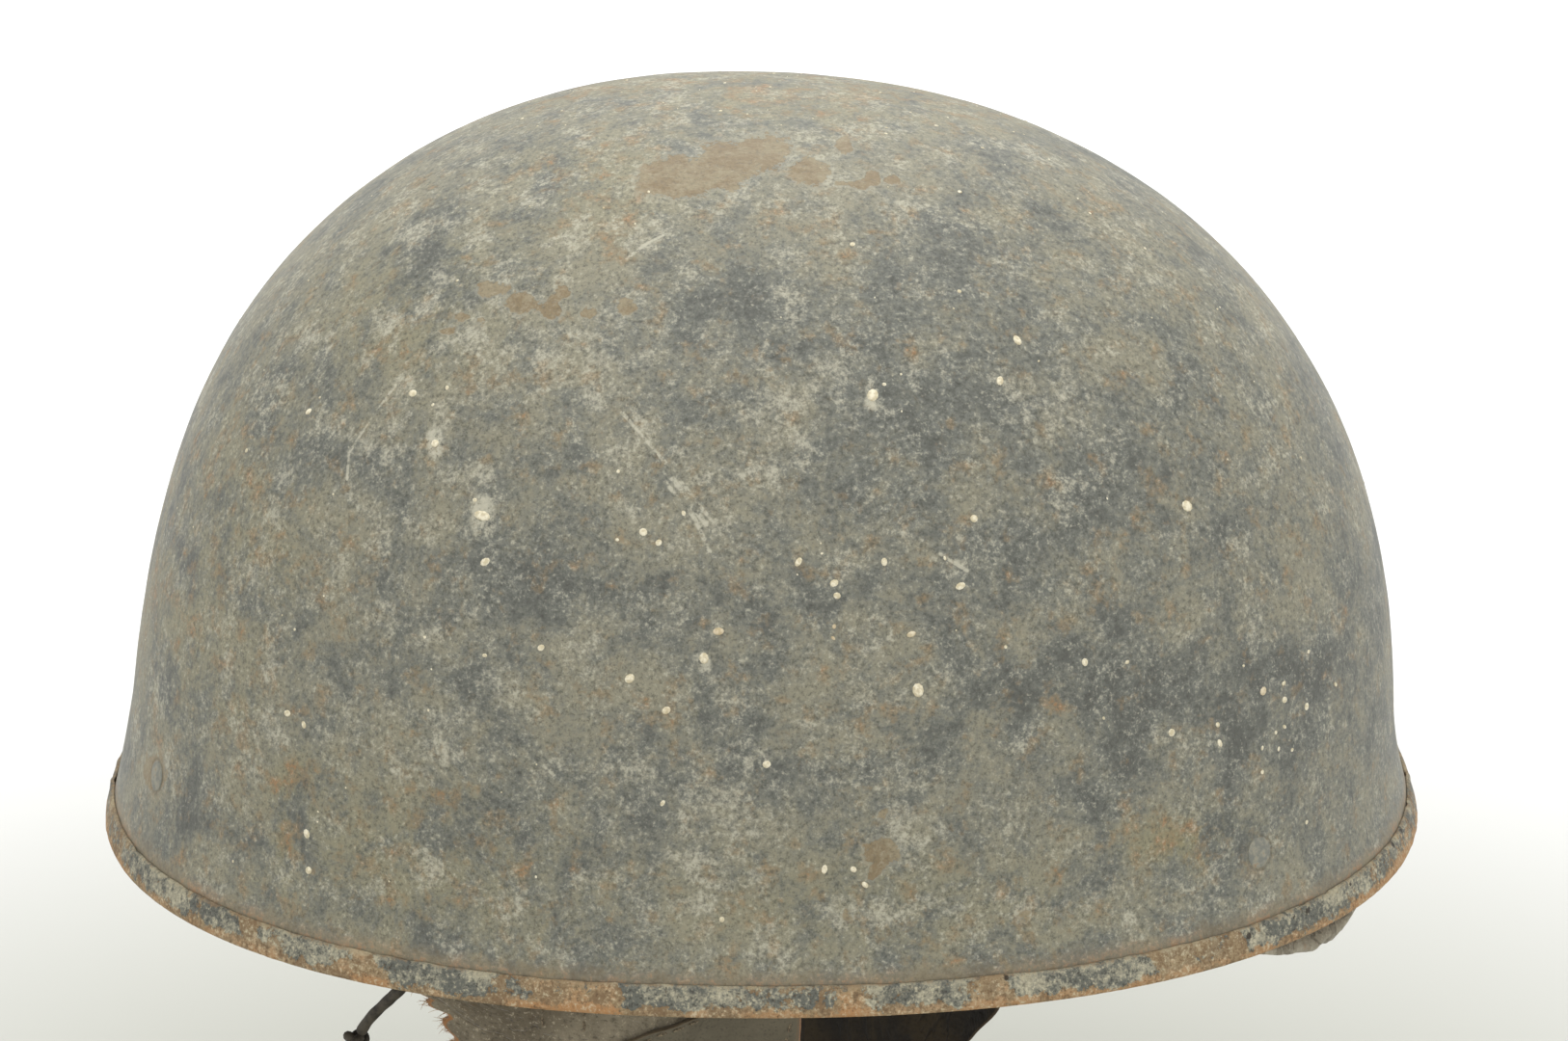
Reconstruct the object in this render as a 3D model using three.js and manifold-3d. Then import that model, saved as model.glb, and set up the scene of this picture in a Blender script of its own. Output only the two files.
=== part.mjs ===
// Despatch rider helmet: a pressed steel dome with a folded steel band round its rim,
// four flush rivets that hold a leather headband inside, and the leather sewn to that
// headband: an ear flap on each side, a facing on the left flap, a nape curtain, and a
// short lace with a knot.
// Millimetres. -X is the front, -Y is the wearer's left, +Z is up.
// The origin is on the inside of the crown, where a head carries the helmet.

import * as THREE from 'three';
import { mergeVertices } from 'three/addons/utils/BufferGeometryUtils.js';
import Module from 'manifold-3d';

const wasm = await Module();
wasm.setup();

// Overall sizes, measured over the rim band and from its lower edge
const rimLength = 280;
const rimWidth = 240;
const shellHeight = 153.5;

// Shell: the skirt's height, and how far it spreads from the dome to the rim on each side
const shellWall = 1.2;
const skirtHeight = 26.7;
const frontFlare = 12.3;
const rearFlare = 5.5;
const sideFlare = 7.5;
const crownLean = 7;

// Folded band round the rim
const bandWall = 0.6;
const bandGap = 0.3;
const bandHeight = 6;
const bandInnerHeight = 5;
const bandEdgeRound = 0.5;

// Leather headband on the rivets
const headbandWall = 1.8;
const headbandGap = 0.4;
const headbandLow = 7;
const headbandHeight = 24;

// Leather sewn to the headband
const seamGap = 0.3;
const flapWall = 2;
const flapTop = 28;
const leftFlapLength = 92;
const leftFlapFront = 67;
const leftFlapRear = 8;
const leftFlapDrift = 24;
const rightFlapLength = 108;
const rightFlapFront = 45;
const rightFlapRear = 60;
const rightFlapDrift = 34;

// Smooth facing on the outside of the left flap
const facingWall = 1.4;
const facingTop = 4;
const facingLength = 84;
const facingFront = 42;

// Nape curtain, with one fold that shows below the rim
const napeWall = 2;
const napeTop = 28;
const napeSpread = 53;
const napeLow = 1.2;
const foldDepth = 5.2;
const foldReach = 2.9;
const foldAngle = -37;
const foldSpread = 15;

// Flush rivets, by their height above the rim and their angle from the helmet's long axis
const rivetHeadRadius = 3.1;
const rivetShankRadius = 1.6;
const rivetTailRadius = 3.8;
const rivetTailWall = 0.9;
const rivetHeadDepth = 0.8;
const rivetDome = 0.2;
const rivetClearance = 0.3;
const drillOvershoot = 2;
const frontRivetAngle = 25;
const frontRivetHeight = 22.5;
const rearRivetAngle = 45;
const rearRivetHeight = 19;

// Lace and its knot
const laceDiameter = 2.4;
const knotDiameter = 5.6;

// Mesh fineness
const columns = 64;
const skirtRows = 3;
const domeRows = 14;
const roundSides = 16;

// The plan of the helmet is a curve between an ellipse and a rectangle
const planPower = 2.17;

// How each side of the dome rises and how its skirt spreads to the rim.
// flareTop is a share of the shell's height; the others are powers.
const profiles = {
  front: { rise: 2.23, round: 2.02, flareTop: 0.62, flare: 2.14 },
  rear: { rise: 2.35, round: 2.2, flareTop: 0.178, flare: 1.82 },
  side: { rise: 2.29, round: 2.11, flareTop: 0.4, flare: 1.98 },
};

const bandThickness = bandWall + bandGap;
const reaches = {
  front: { rim: rimLength / 2 - bandThickness, flare: frontFlare },
  rear: { rim: rimLength / 2 - bandThickness, flare: rearFlare },
  side: { rim: rimWidth / 2 - bandThickness, flare: sideFlare },
};

// The layers inside the shell, as distances in from its outer face
const headbandOuter = shellWall + headbandGap;
const headbandInner = headbandOuter + headbandWall;
const sewnFace = headbandInner + seamGap;
const headbandHeights = [0, 1, 2, 3].map((row) => headbandLow + (row / 3) * headbandHeight);

const clamp = THREE.MathUtils.clamp;
const lerp = THREE.MathUtils.lerp;

// Distance from the middle to the skin on one side, at a height and a distance in from the outer face
function reach(side, height, inset) {
  const level = Math.max(height, 0);
  const top = shellHeight - inset;
  const share = clamp((level - skirtHeight) / (top - skirtHeight), 0, 1);
  const shape = profiles[side];
  const { rim, flare } = reaches[side];
  const flareShare = Math.max(0, 1 - level / (shape.flareTop * shellHeight));
  const body = (rim - flare - inset) * (1 - share ** shape.rise) ** (1 / shape.round);
  return body + flare * flareShare ** shape.flare;
}

// How far the dome leans forward at a height
function leanAt(height, inset) {
  const top = shellHeight - inset;
  return -crownLean * clamp((height - skirtHeight) / (top - skirtHeight), 0, 1);
}

// A point of the skin: angle 0 is the rear, 90 degrees the wearer's right
function skinPoint(degrees, height, inset) {
  const angle = THREE.MathUtils.degToRad(degrees);
  const along = Math.cos(angle);
  const across = Math.sin(angle);
  const length = reach(along < 0 ? 'front' : 'rear', height, inset);
  const width = reach('side', height, inset);
  const x = length * Math.sign(along) * Math.abs(along) ** (2 / planPower);
  const y = width * Math.sign(across) * Math.abs(across) ** (2 / planPower);
  return new THREE.Vector3(x + leanAt(height, inset), y, height);
}

// Half width of the plan at a distance x along the helmet
function halfWidth(x, height, inset) {
  const length = reach(x < 0 ? 'front' : 'rear', height, inset);
  const share = Math.min(Math.abs(x) / length, 1);
  return reach('side', height, inset) * (1 - share ** planPower) ** (1 / planPower);
}

// The way out of the shell at a point of its outer face
function skinNormal(degrees, height) {
  const step = 0.5;
  const round = skinPoint(degrees + step, height, 0).sub(skinPoint(degrees - step, height, 0));
  const up = skinPoint(degrees, height + step, 0).sub(skinPoint(degrees, height - step, 0));
  return round.cross(up).normalize();
}

function rowValue(rows, key, share) {
  let i = 0;
  while (i < rows.length - 2 && share > rows[i + 1].drop) i += 1;
  const part = (share - rows[i].drop) / (rows[i + 1].drop - rows[i].drop);
  return lerp(rows[i][key], rows[i + 1][key], clamp(part, 0, 1));
}

// A geometry from points and triangles, with its faces pointing out
function closedGeometry(points, triangles) {
  let volume = 0;
  for (const [a, b, c] of triangles) {
    volume += points[a].dot(new THREE.Vector3().crossVectors(points[b], points[c]));
  }
  const index = triangles.flatMap(([a, b, c]) => (volume > 0 ? [a, b, c] : [a, c, b]));
  const geometry = new THREE.BufferGeometry();
  geometry.setAttribute('position', new THREE.Float32BufferAttribute(points.flatMap((p) => p.toArray()), 3));
  geometry.setIndex(index);
  return geometry;
}

// Joins each ring of points to the next; the last joins the first where the surface closes on itself
function joinRings(rings, closes) {
  const count = rings[0].length;
  const triangles = [];
  const last = closes ? rings.length : rings.length - 1;
  for (let r = 0; r < last; r += 1) {
    const here = r * count;
    const next = ((r + 1) % rings.length) * count;
    for (let i = 0; i < count; i += 1) {
      const j = (i + 1) % count;
      triangles.push([here + i, here + j, next + j], [here + i, next + j, next + i]);
    }
  }
  return triangles;
}

// The same point on the flat facets between the shell's columns, so that layers stay parallel
function facetPoint(degrees, height, inset) {
  const step = 360 / columns;
  const from = Math.floor(degrees / step) * step;
  return skinPoint(from, height, inset).lerp(skinPoint(from + step, height, inset), (degrees - from) / step);
}

function ringAt(height, inset) {
  return Array.from({ length: columns }, (_, i) => skinPoint((i * 360) / columns, height, inset));
}

// Dome-shaped wall, open below
function domeGeometry() {
  const low = bandThickness;
  const heights = (inset) => {
    const list = [low];
    for (let i = 0; i < skirtRows; i += 1) list.push(lerp(bandHeight, skirtHeight, i / skirtRows));
    for (let i = 0; i < domeRows; i += 1) {
      const share = Math.sin((i / domeRows) * (Math.PI / 2));
      list.push(lerp(skirtHeight, shellHeight - inset, share));
    }
    return list;
  };
  const outer = heights(0).map((height) => ringAt(height, 0));
  const inner = heights(shellWall).map((height) => ringAt(height, shellWall));
  const rings = [...outer.reverse(), ...inner];
  const points = rings.flat();
  const triangles = joinRings(rings, false);
  const outerPole = points.length;
  const innerPole = outerPole + 1;
  points.push(new THREE.Vector3(-crownLean, 0, shellHeight));
  points.push(new THREE.Vector3(-crownLean, 0, shellHeight - shellWall));
  const innerTop = (rings.length - 1) * columns;
  for (let i = 0; i < columns; i += 1) {
    const j = (i + 1) % columns;
    triangles.push([outerPole, j, i], [innerPole, innerTop + i, innerTop + j]);
  }
  return closedGeometry(points, triangles);
}

// A closed section, given as [inset, height] pairs, carried all round the helmet
function hoopGeometry(section) {
  const rings = section.map(([inset, height]) => ringAt(height, inset));
  return closedGeometry(rings.flat(), joinRings(rings, true));
}

// A sheet with thickness: place(u, v, depth) gives its points, depth 0 outside and 1 inside
function sheetGeometry(across, down, place) {
  const rings = [];
  for (const v of down) {
    const outside = across.map((u) => place(u, v, 0));
    const inside = across.map((u) => place(u, v, 1)).reverse();
    rings.push([...outside, ...inside]);
  }
  const triangles = joinRings(rings, false);
  const count = rings[0].length;
  const last = (rings.length - 1) * count;
  for (let i = 0; i < across.length - 1; i += 1) {
    const j = count - 1 - i;
    triangles.push([i, j, j - 1], [i, j - 1, i + 1]);
    triangles.push([last + i, last + j - 1, last + j], [last + i, last + i + 1, last + j - 1]);
  }
  return closedGeometry(rings.flat(), triangles);
}

const evenSteps = (count) => Array.from({ length: count + 1 }, (_, i) => i / count);

// Edges of the flaps and of the facing. drop is a share of the length below the rim, and
// front and rear are shares of the panel's reach ahead of and behind the middle of the helmet.
// The left flap's front edge is torn just below the rim.
const leftFlapEdges = [
  { drop: -0.3, front: 1, rear: 1 },
  { drop: -0.15, front: 1, rear: 1 },
  { drop: 0, front: 1.005, rear: 1 },
  { drop: 0.03, front: 0.975, rear: 1 },
  { drop: 0.045, front: 0.93, rear: 1 },
  { drop: 0.06, front: 0.945, rear: 1 },
  { drop: 0.08, front: 0.885, rear: 0.98 },
  { drop: 0.1, front: 0.9, rear: 0.98 },
  { drop: 0.14, front: 0.85, rear: 0.96 },
  { drop: 0.18, front: 0.87, rear: 0.94 },
  { drop: 0.3, front: 0.85, rear: 0.9 },
  { drop: 0.5, front: 0.84, rear: 0.7 },
  { drop: 0.7, front: 0.82, rear: 0.4 },
  { drop: 0.84, front: 0.77, rear: -0.1 },
  { drop: 0.94, front: 0.68, rear: -1 },
  { drop: 1, front: 0.57, rear: -2 },
];
const rightFlapEdges = [
  { drop: -0.26, front: 1, rear: 1 },
  { drop: -0.13, front: 1, rear: 1 },
  { drop: 0, front: 1, rear: 1 },
  { drop: 0.15, front: 1, rear: 1.01 },
  { drop: 0.35, front: 0.99, rear: 1.01 },
  { drop: 0.55, front: 0.97, rear: 1 },
  { drop: 0.7, front: 0.93, rear: 0.99 },
  { drop: 0.815, front: 0.84, rear: 0.94 },
  { drop: 0.88, front: 0.74, rear: 0.84 },
  { drop: 0.94, front: 0.6, rear: 0.72 },
  { drop: 1, front: 0.38, rear: 0.5 },
];
const facingEdges = [
  { drop: -0.05, front: 0.04, rear: 0.97 },
  { drop: 0, front: 0.08, rear: 0.97 },
  { drop: 0.05, front: 0.19, rear: 0.96 },
  { drop: 0.08, front: 0.33, rear: 0.95 },
  { drop: 0.12, front: 0.52, rear: 0.94 },
  { drop: 0.17, front: 0.7, rear: 0.92 },
  { drop: 0.25, front: 0.85, rear: 0.9 },
  { drop: 0.4, front: 0.95, rear: 0.8 },
  { drop: 0.65, front: 1, rear: 0.5 },
  { drop: 0.85, front: 0.97, rear: -0.2 },
  { drop: 0.95, front: 0.9, rear: -1 },
  { drop: 1, front: 0.8, rear: -1.8 },
];

// A hanging panel leaves the headband and drifts inwards as it falls
function driftAt(height, length, drift) {
  const fall = Math.max(0, headbandLow + headbandHeight / 2 - height);
  return drift * (fall / (headbandLow + headbandHeight / 2 + length)) ** 1.4;
}

function panelGeometry({ side, top, length, front, rear, edges, wall, outset, flapLength, drift, fineness }) {
  const heights = edges.map((row) => (row.drop < 0 ? (top * row.drop) / edges[0].drop : -row.drop * length));
  const place = (u, height, depth) => {
    const share = height > 0 ? (edges[0].drop * height) / top : -height / length;
    const from = -front * rowValue(edges, 'front', share);
    const to = rear * rowValue(edges, 'rear', share);
    const x = lerp(from, to, u);
    const inset = sewnFace + driftAt(height, flapLength, drift) - outset + depth * wall;
    return new THREE.Vector3(x, side * halfWidth(x, height, inset), height);
  };
  return sheetGeometry(evenSteps(fineness), heights, place);
}

function leftFlapGeometry() {
  return panelGeometry({
    side: -1, top: flapTop, length: leftFlapLength, front: leftFlapFront, rear: leftFlapRear,
    edges: leftFlapEdges, wall: flapWall, outset: 0, flapLength: leftFlapLength,
    drift: leftFlapDrift, fineness: 8,
  });
}

function rightFlapGeometry() {
  return panelGeometry({
    side: 1, top: flapTop, length: rightFlapLength, front: rightFlapFront, rear: rightFlapRear,
    edges: rightFlapEdges, wall: flapWall, outset: 0, flapLength: rightFlapLength,
    drift: rightFlapDrift, fineness: 10,
  });
}

// The facing lies on the outside of the left flap and follows its hang
function facingGeometry() {
  return panelGeometry({
    side: -1, top: facingTop, length: facingLength, front: facingFront, rear: leftFlapRear,
    edges: facingEdges, wall: facingWall, outset: facingWall + seamGap, flapLength: leftFlapLength,
    drift: leftFlapDrift, fineness: 6,
  });
}

// Outer and inner face of the nape curtain, top to bottom. level runs from 0 at the plain lower
// edge to -1 at the fold's lowest point, out is a share of the fold's reach.
const foldRows = [
  { level: 0, out: 0.02, face: 'outer' },
  { level: -0.3, out: 0.1, face: 'outer' },
  { level: -0.46, out: 0.62, face: 'outer' },
  { level: -0.64, out: 0.95, face: 'outer' },
  { level: -0.82, out: 0.95, face: 'outer' },
  { level: -0.97, out: 0.55, face: 'outer' },
  { level: -1, out: 0, face: 'inner' },
  { level: -0.8, out: 0, face: 'inner' },
  { level: 0, out: 0, face: 'inner' },
];

function napeSection(bulge) {
  const innerFace = sewnFace + napeWall;
  const drop = (foldDepth + napeLow) * bulge;
  const sewnHeights = headbandHeights.filter((height) => height > napeLow && height < napeTop);
  const straight = [...sewnHeights, napeTop];
  const section = [...straight].reverse().map((height) => [sewnFace, height]);
  for (const row of foldRows) {
    const start = row.face === 'outer' ? sewnFace : innerFace;
    const spread = row.face === 'outer' ? 0 : napeWall * 0.1 * row.level;
    section.push([start + spread - row.out * foldReach * bulge, napeLow + row.level * (drop + napeWall * 0.4)]);
  }
  return [...section, ...straight.map((height) => [innerFace, height])];
}

function napeGeometry() {
  const steps = 32;
  const rings = [];
  for (let i = 0; i <= steps; i += 1) {
    const angle = lerp(-napeSpread, napeSpread, i / steps);
    const away = clamp(Math.abs(angle - foldAngle) / foldSpread, 0, 1);
    const bulge = (1 + Math.cos(Math.PI * away)) / 2;
    rings.push(napeSection(bulge).map(([inset, height]) => facetPoint(angle, height, inset)));
  }
  const count = rings[0].length;
  const triangles = joinRings(rings, false);
  const last = (rings.length - 1) * count;
  const half = Math.floor(count / 2);
  for (let i = 0; i < half; i += 1) {
    const j = count - 1 - i;
    if (j - 1 > i) {
      triangles.push([i, j, j - 1], [last + i, last + j - 1, last + j]);
    }
    if (j - 1 > i + 1) {
      triangles.push([i, j - 1, i + 1], [last + i, last + i + 1, last + j - 1]);
    }
  }
  return closedGeometry(rings.flat(), triangles);
}

function bandGeometry() {
  const outside = -bandThickness;
  const inside = shellWall + bandThickness;
  return hoopGeometry([
    [outside, bandHeight],
    [outside, bandEdgeRound],
    [outside + bandEdgeRound, 0],
    [inside - bandEdgeRound, 0],
    [inside, bandEdgeRound],
    [inside, bandInnerHeight],
    [inside - bandWall, bandInnerHeight],
    [inside - bandWall, bandWall],
    [-bandGap, bandWall],
    [-bandGap, bandHeight],
  ]);
}

function headbandGeometry() {
  const outer = headbandHeights.map((height) => [headbandOuter, height]);
  const inner = headbandHeights.map((height) => [headbandInner, height]).reverse();
  return hoopGeometry([...outer, ...inner]);
}

// Rivet along +Z: its head is flush with the shell at height 0 and its tail spreads inside.
// grip is what it holds together below the shell's outer face.
function rivetProfile(grip) {
  const tail = -(grip + bandGap);
  return [
    [0, rivetDome],
    [rivetHeadRadius * 0.6, rivetDome * 0.8],
    [rivetHeadRadius, 0],
    [rivetShankRadius, -rivetHeadDepth],
    [rivetShankRadius, tail],
    [rivetTailRadius, tail],
    [rivetTailRadius, tail - rivetTailWall],
    [0, tail - rivetTailWall],
  ];
}

function holeProfile(grip) {
  const head = rivetHeadRadius + rivetClearance;
  const shank = rivetShankRadius + rivetClearance;
  const low = -grip - drillOvershoot;
  return [[0, drillOvershoot], [head, drillOvershoot], [head, -rivetClearance],
    [shank, -rivetHeadDepth - rivetClearance], [shank, low], [0, low]];
}

function turned(profile) {
  const outline = profile.map(([radius, height]) => new THREE.Vector2(radius, height)).reverse();
  const geometry = new THREE.LatheGeometry(outline, roundSides);
  geometry.rotateX(Math.PI / 2);
  geometry.deleteAttribute('normal');
  geometry.deleteAttribute('uv');
  const merged = mergeVertices(geometry, 1e-3);
  const position = merged.getAttribute('position');
  const points = [];
  for (let i = 0; i < position.count; i += 1) {
    points.push(new THREE.Vector3().fromBufferAttribute(position, i));
  }
  const index = merged.getIndex().array;
  const triangles = [];
  for (let i = 0; i < index.length; i += 3) {
    const face = [index[i], index[i + 1], index[i + 2]];
    if (new Set(face).size === 3) triangles.push(face);
  }
  return closedGeometry(points, triangles);
}

const frontGrip = headbandInner;
const rearGrip = sewnFace + napeWall;
const rivetPlaces = [
  { name: 'rivet_front_left', angle: -180 + frontRivetAngle, height: frontRivetHeight, grip: frontGrip },
  { name: 'rivet_front_right', angle: 180 - frontRivetAngle, height: frontRivetHeight, grip: frontGrip },
  { name: 'rivet_rear_left', angle: -rearRivetAngle, height: rearRivetHeight, grip: rearGrip },
  { name: 'rivet_rear_right', angle: rearRivetAngle, height: rearRivetHeight, grip: rearGrip },
];

function rivetMatrix({ angle, height }) {
  const turn = new THREE.Quaternion().setFromUnitVectors(new THREE.Vector3(0, 0, 1), skinNormal(angle, height));
  return new THREE.Matrix4().compose(skinPoint(angle, height, 0), turn, new THREE.Vector3(1, 1, 1));
}

function toSolid(geometry) {
  const bare = mergeVertices(geometry, 1e-4);
  return new wasm.Manifold(new wasm.Mesh({
    numProp: 3,
    vertProperties: new Float32Array(bare.getAttribute('position').array),
    triVerts: new Uint32Array(bare.getIndex().array),
  }));
}

function fromSolid(solid) {
  const mesh = solid.getMesh();
  const geometry = new THREE.BufferGeometry();
  geometry.setAttribute('position', new THREE.BufferAttribute(mesh.vertProperties, 3));
  geometry.setIndex(new THREE.BufferAttribute(mesh.triVerts, 1));
  return geometry;
}

// Cuts the rivets' holes through a layer
function drilled(geometry, places) {
  let solid = toSolid(geometry);
  for (const place of places) {
    const hole = turned(holeProfile(place.grip)).applyMatrix4(rivetMatrix(place));
    solid = solid.subtract(toSolid(hole));
  }
  return fromSolid(solid);
}

// The lace starts on the inside of the left flap, near its torn edge, and ends in the knot.
// along is the distance ahead of the middle of the helmet, fall the distance below the rim,
// and clear the distance in from the flap's inner face.
const laceRoute = [
  { along: 54, fall: -14, clear: 0.4 },
  { along: 55.6, fall: -12, clear: 0.4 },
  { along: 57.2, fall: -10, clear: 0.4 },
  { along: 58.9, fall: -8, clear: 0.4 },
  { along: 60.6, fall: -6, clear: 0.4 },
  { along: 62.3, fall: -4, clear: 0.4 },
  { along: 64, fall: -2, clear: 0.4 },
  { along: 65.6, fall: 0, clear: 0.45 },
  { along: 67.2, fall: 2, clear: 0.5 },
  { along: 68.9, fall: 4.1, clear: 0.6 },
  { along: 70.7, fall: 6.3, clear: 0.7 },
  { along: 72.5, fall: 8.6, clear: 0.8 },
  { along: 74.2, fall: 10.8, clear: 0.9 },
  { along: 75.9, fall: 13.1, clear: 1 },
  { along: 77.4, fall: 15.5, clear: 1.1 },
  { along: 78.7, fall: 18, clear: 1.2 },
];

function lacePoint({ along, fall, clear }) {
  const height = -fall;
  const inset = sewnFace + driftAt(height, leftFlapLength, leftFlapDrift) + flapWall + clear + laceDiameter / 2;
  return new THREE.Vector3(-along, -halfWidth(-along, height, inset), height);
}

const lacePoints = laceRoute.map(lacePoint);

function laceGeometry() {
  const sides = 8;
  const section = new THREE.Shape(evenSteps(sides).slice(0, sides).map((share) => {
    const angle = share * 2 * Math.PI;
    return new THREE.Vector2(Math.cos(angle), Math.sin(angle)).multiplyScalar(laceDiameter / 2);
  }));
  const path = new THREE.CatmullRomCurve3(lacePoints);
  return new THREE.ExtrudeGeometry(section, { steps: 8, extrudePath: path, bevelEnabled: false });
}

function knotGeometry() {
  const end = lacePoints.at(-1);
  const way = end.clone().sub(lacePoints.at(-2)).normalize();
  const knot = new THREE.IcosahedronGeometry(knotDiameter / 2, 1);
  const centre = end.clone().addScaledVector(way, knotDiameter / 2 + seamGap);
  knot.deleteAttribute('normal');
  knot.deleteAttribute('uv');
  return mergeVertices(knot, 1e-3).translate(centre.x, centre.y, centre.z);
}

function finish(color, roughness, metalness) {
  return new THREE.MeshStandardMaterial({ color, roughness, metalness });
}

const oldPaint = finish(0x62615a, 0.72, 0.1);
const rustyBand = finish(0x6f6352, 0.75, 0.2);
const rivetSteel = finish(0x5d5a52, 0.7, 0.3);
const suede = finish(0x544b3f, 0.95, 0);
const smoothLeather = finish(0x46423a, 0.7, 0);
const darkLeather = finish(0x221c16, 0.45, 0);
const curtainLeather = finish(0x6b6253, 0.9, 0);

const helmet = new THREE.Group();
helmet.position.set(crownLean, 0, -(shellHeight - shellWall));

function add(name, geometry, material) {
  const mesh = new THREE.Mesh(geometry, material);
  mesh.name = name;
  helmet.add(mesh);
  return mesh;
}

add('shell', drilled(domeGeometry(), rivetPlaces), oldPaint);
add('rim_band', bandGeometry(), rustyBand);
add('headband', drilled(headbandGeometry(), rivetPlaces), darkLeather);
for (const place of rivetPlaces) {
  const rivet = add(place.name, turned(rivetProfile(place.grip)), rivetSteel);
  rivet.applyMatrix4(rivetMatrix(place));
}
add('ear_flap_left', leftFlapGeometry(), suede);
add('flap_facing_left', facingGeometry(), smoothLeather);
add('ear_flap_right', rightFlapGeometry(), darkLeather);
add('nape_curtain', drilled(napeGeometry(), rivetPlaces.slice(2)), curtainLeather);
add('tie_lace', laceGeometry(), darkLeather);
add('lace_knot', knotGeometry(), darkLeather);

export default helmet;
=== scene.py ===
import math

import bmesh
import bpy
import numpy as np
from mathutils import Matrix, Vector
from mathutils.bvhtree import BVHTree


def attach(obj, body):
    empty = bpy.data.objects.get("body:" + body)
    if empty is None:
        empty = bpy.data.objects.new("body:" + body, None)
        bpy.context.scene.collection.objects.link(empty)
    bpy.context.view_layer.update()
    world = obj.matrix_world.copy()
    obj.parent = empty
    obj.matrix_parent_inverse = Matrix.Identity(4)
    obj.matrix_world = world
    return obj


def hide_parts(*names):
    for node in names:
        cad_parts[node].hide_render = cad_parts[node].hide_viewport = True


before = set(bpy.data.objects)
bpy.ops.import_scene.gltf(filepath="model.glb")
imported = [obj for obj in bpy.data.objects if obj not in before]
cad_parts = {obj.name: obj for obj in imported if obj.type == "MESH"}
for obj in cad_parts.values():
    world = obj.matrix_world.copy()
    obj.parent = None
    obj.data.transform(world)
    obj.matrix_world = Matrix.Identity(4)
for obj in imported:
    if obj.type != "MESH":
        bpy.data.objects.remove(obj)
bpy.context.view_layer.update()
scene = bpy.context.scene
metresPerMm = 0.001
mmPerMetre = 1000.0
fullTurn = 2 * math.pi
print("frame loaded:", len(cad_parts), "nodes")


def linked(name, data):
    made = bpy.data.objects.new(name, data)
    scene.collection.objects.link(made)
    return made


# camera at the photo's angle: the helmet from the wearer's left and from above
cameraView = {
    "aim": (0.01173, 0.0, -0.0924),  # metres
    "distance": 0.888,
    "tilt": 18.09,                   # degrees down
    "lens": 96.56,
    "sensor": 36.0,
    "photoWide": 1626,
    "photoHigh": 1080,
}
tilt = math.radians(cameraView["tilt"])
lookAlong = np.array([0.0, math.cos(tilt), -math.sin(tilt)])
lookUp = np.array([0.0, math.sin(tilt), math.cos(tilt)])
lookRight = np.array([1.0, 0.0, 0.0])
cameraSpot = np.array(cameraView["aim"]) - cameraView["distance"] * lookAlong
focal = cameraView["lens"] / cameraView["sensor"] * cameraView["photoWide"]

cameraData = bpy.data.cameras.new("photoCamera")
cameraData.lens = cameraView["lens"]
cameraData.sensor_width = cameraView["sensor"]
cameraData.sensor_fit = "HORIZONTAL"
cameraData.clip_start = 0.01
cameraData.clip_end = 30.0
camera = linked("photoCamera", cameraData)
camera.location = cameraSpot
camera.rotation_euler = (math.pi / 2 - tilt, 0.0, 0.0)
scene.camera = camera


def toPixels(points):
    away = np.asarray(points) - cameraSpot
    depth = away @ lookAlong
    across = cameraView["photoWide"] / 2 + focal * (away @ lookRight) / depth
    down = cameraView["photoHigh"] / 2 - focal * (away @ lookUp) / depth
    return across, down


def pixelRay(across, down):
    way = lookAlong * focal
    way = way + lookRight * (across - cameraView["photoWide"] / 2)
    way = way + lookUp * (cameraView["photoHigh"] / 2 - down)
    return Vector(cameraSpot), Vector(way).normalized()


# the helmet's own shape, in millimetres from the middle of the rim
helmetSizes = {
    "rimLength": 280.0,
    "rimWidth": 240.0,
    "height": 153.5,
    "wall": 1.2,
    "skirt": 26.7,
    "crownLean": 7.0,
    "bandFold": 0.9,
    "planPower": 2.17,
}
sideCurves = {
    "front": {"flare": 12.3, "rise": 2.23, "round": 2.02, "flareTop": 0.62, "flarePower": 2.14},
    "rear": {"flare": 5.5, "rise": 2.35, "round": 2.2, "flareTop": 0.178, "flarePower": 1.82},
    "side": {"flare": 7.5, "rise": 2.29, "round": 2.11, "flareTop": 0.4, "flarePower": 1.98},
}
halfRim = {
    "front": helmetSizes["rimLength"] / 2 - helmetSizes["bandFold"],
    "rear": helmetSizes["rimLength"] / 2 - helmetSizes["bandFold"],
    "side": helmetSizes["rimWidth"] / 2 - helmetSizes["bandFold"],
}
originShift = np.array([helmetSizes["crownLean"], 0.0, helmetSizes["wall"] - helmetSizes["height"]])


def reachAt(side, height, inset):
    curve = sideCurves[side]
    level = np.maximum(height, 0.0)
    top = helmetSizes["height"] - inset
    share = np.clip((level - helmetSizes["skirt"]) / (top - helmetSizes["skirt"]), 0.0, 1.0)
    flareShare = np.maximum(0.0, 1.0 - level / (curve["flareTop"] * helmetSizes["height"]))
    body = (1.0 - share ** curve["rise"]) ** (1 / curve["round"])
    body = (halfRim[side] - curve["flare"] - inset) * body
    return body + curve["flare"] * flareShare ** curve["flarePower"]


def endReach(ahead, height, inset):
    return np.where(ahead, reachAt("front", height, inset), reachAt("rear", height, inset))


def leanAt(height, inset):
    top = helmetSizes["height"] - inset
    share = (height - helmetSizes["skirt"]) / (top - helmetSizes["skirt"])
    return -helmetSizes["crownLean"] * np.clip(share, 0.0, 1.0)


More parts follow.
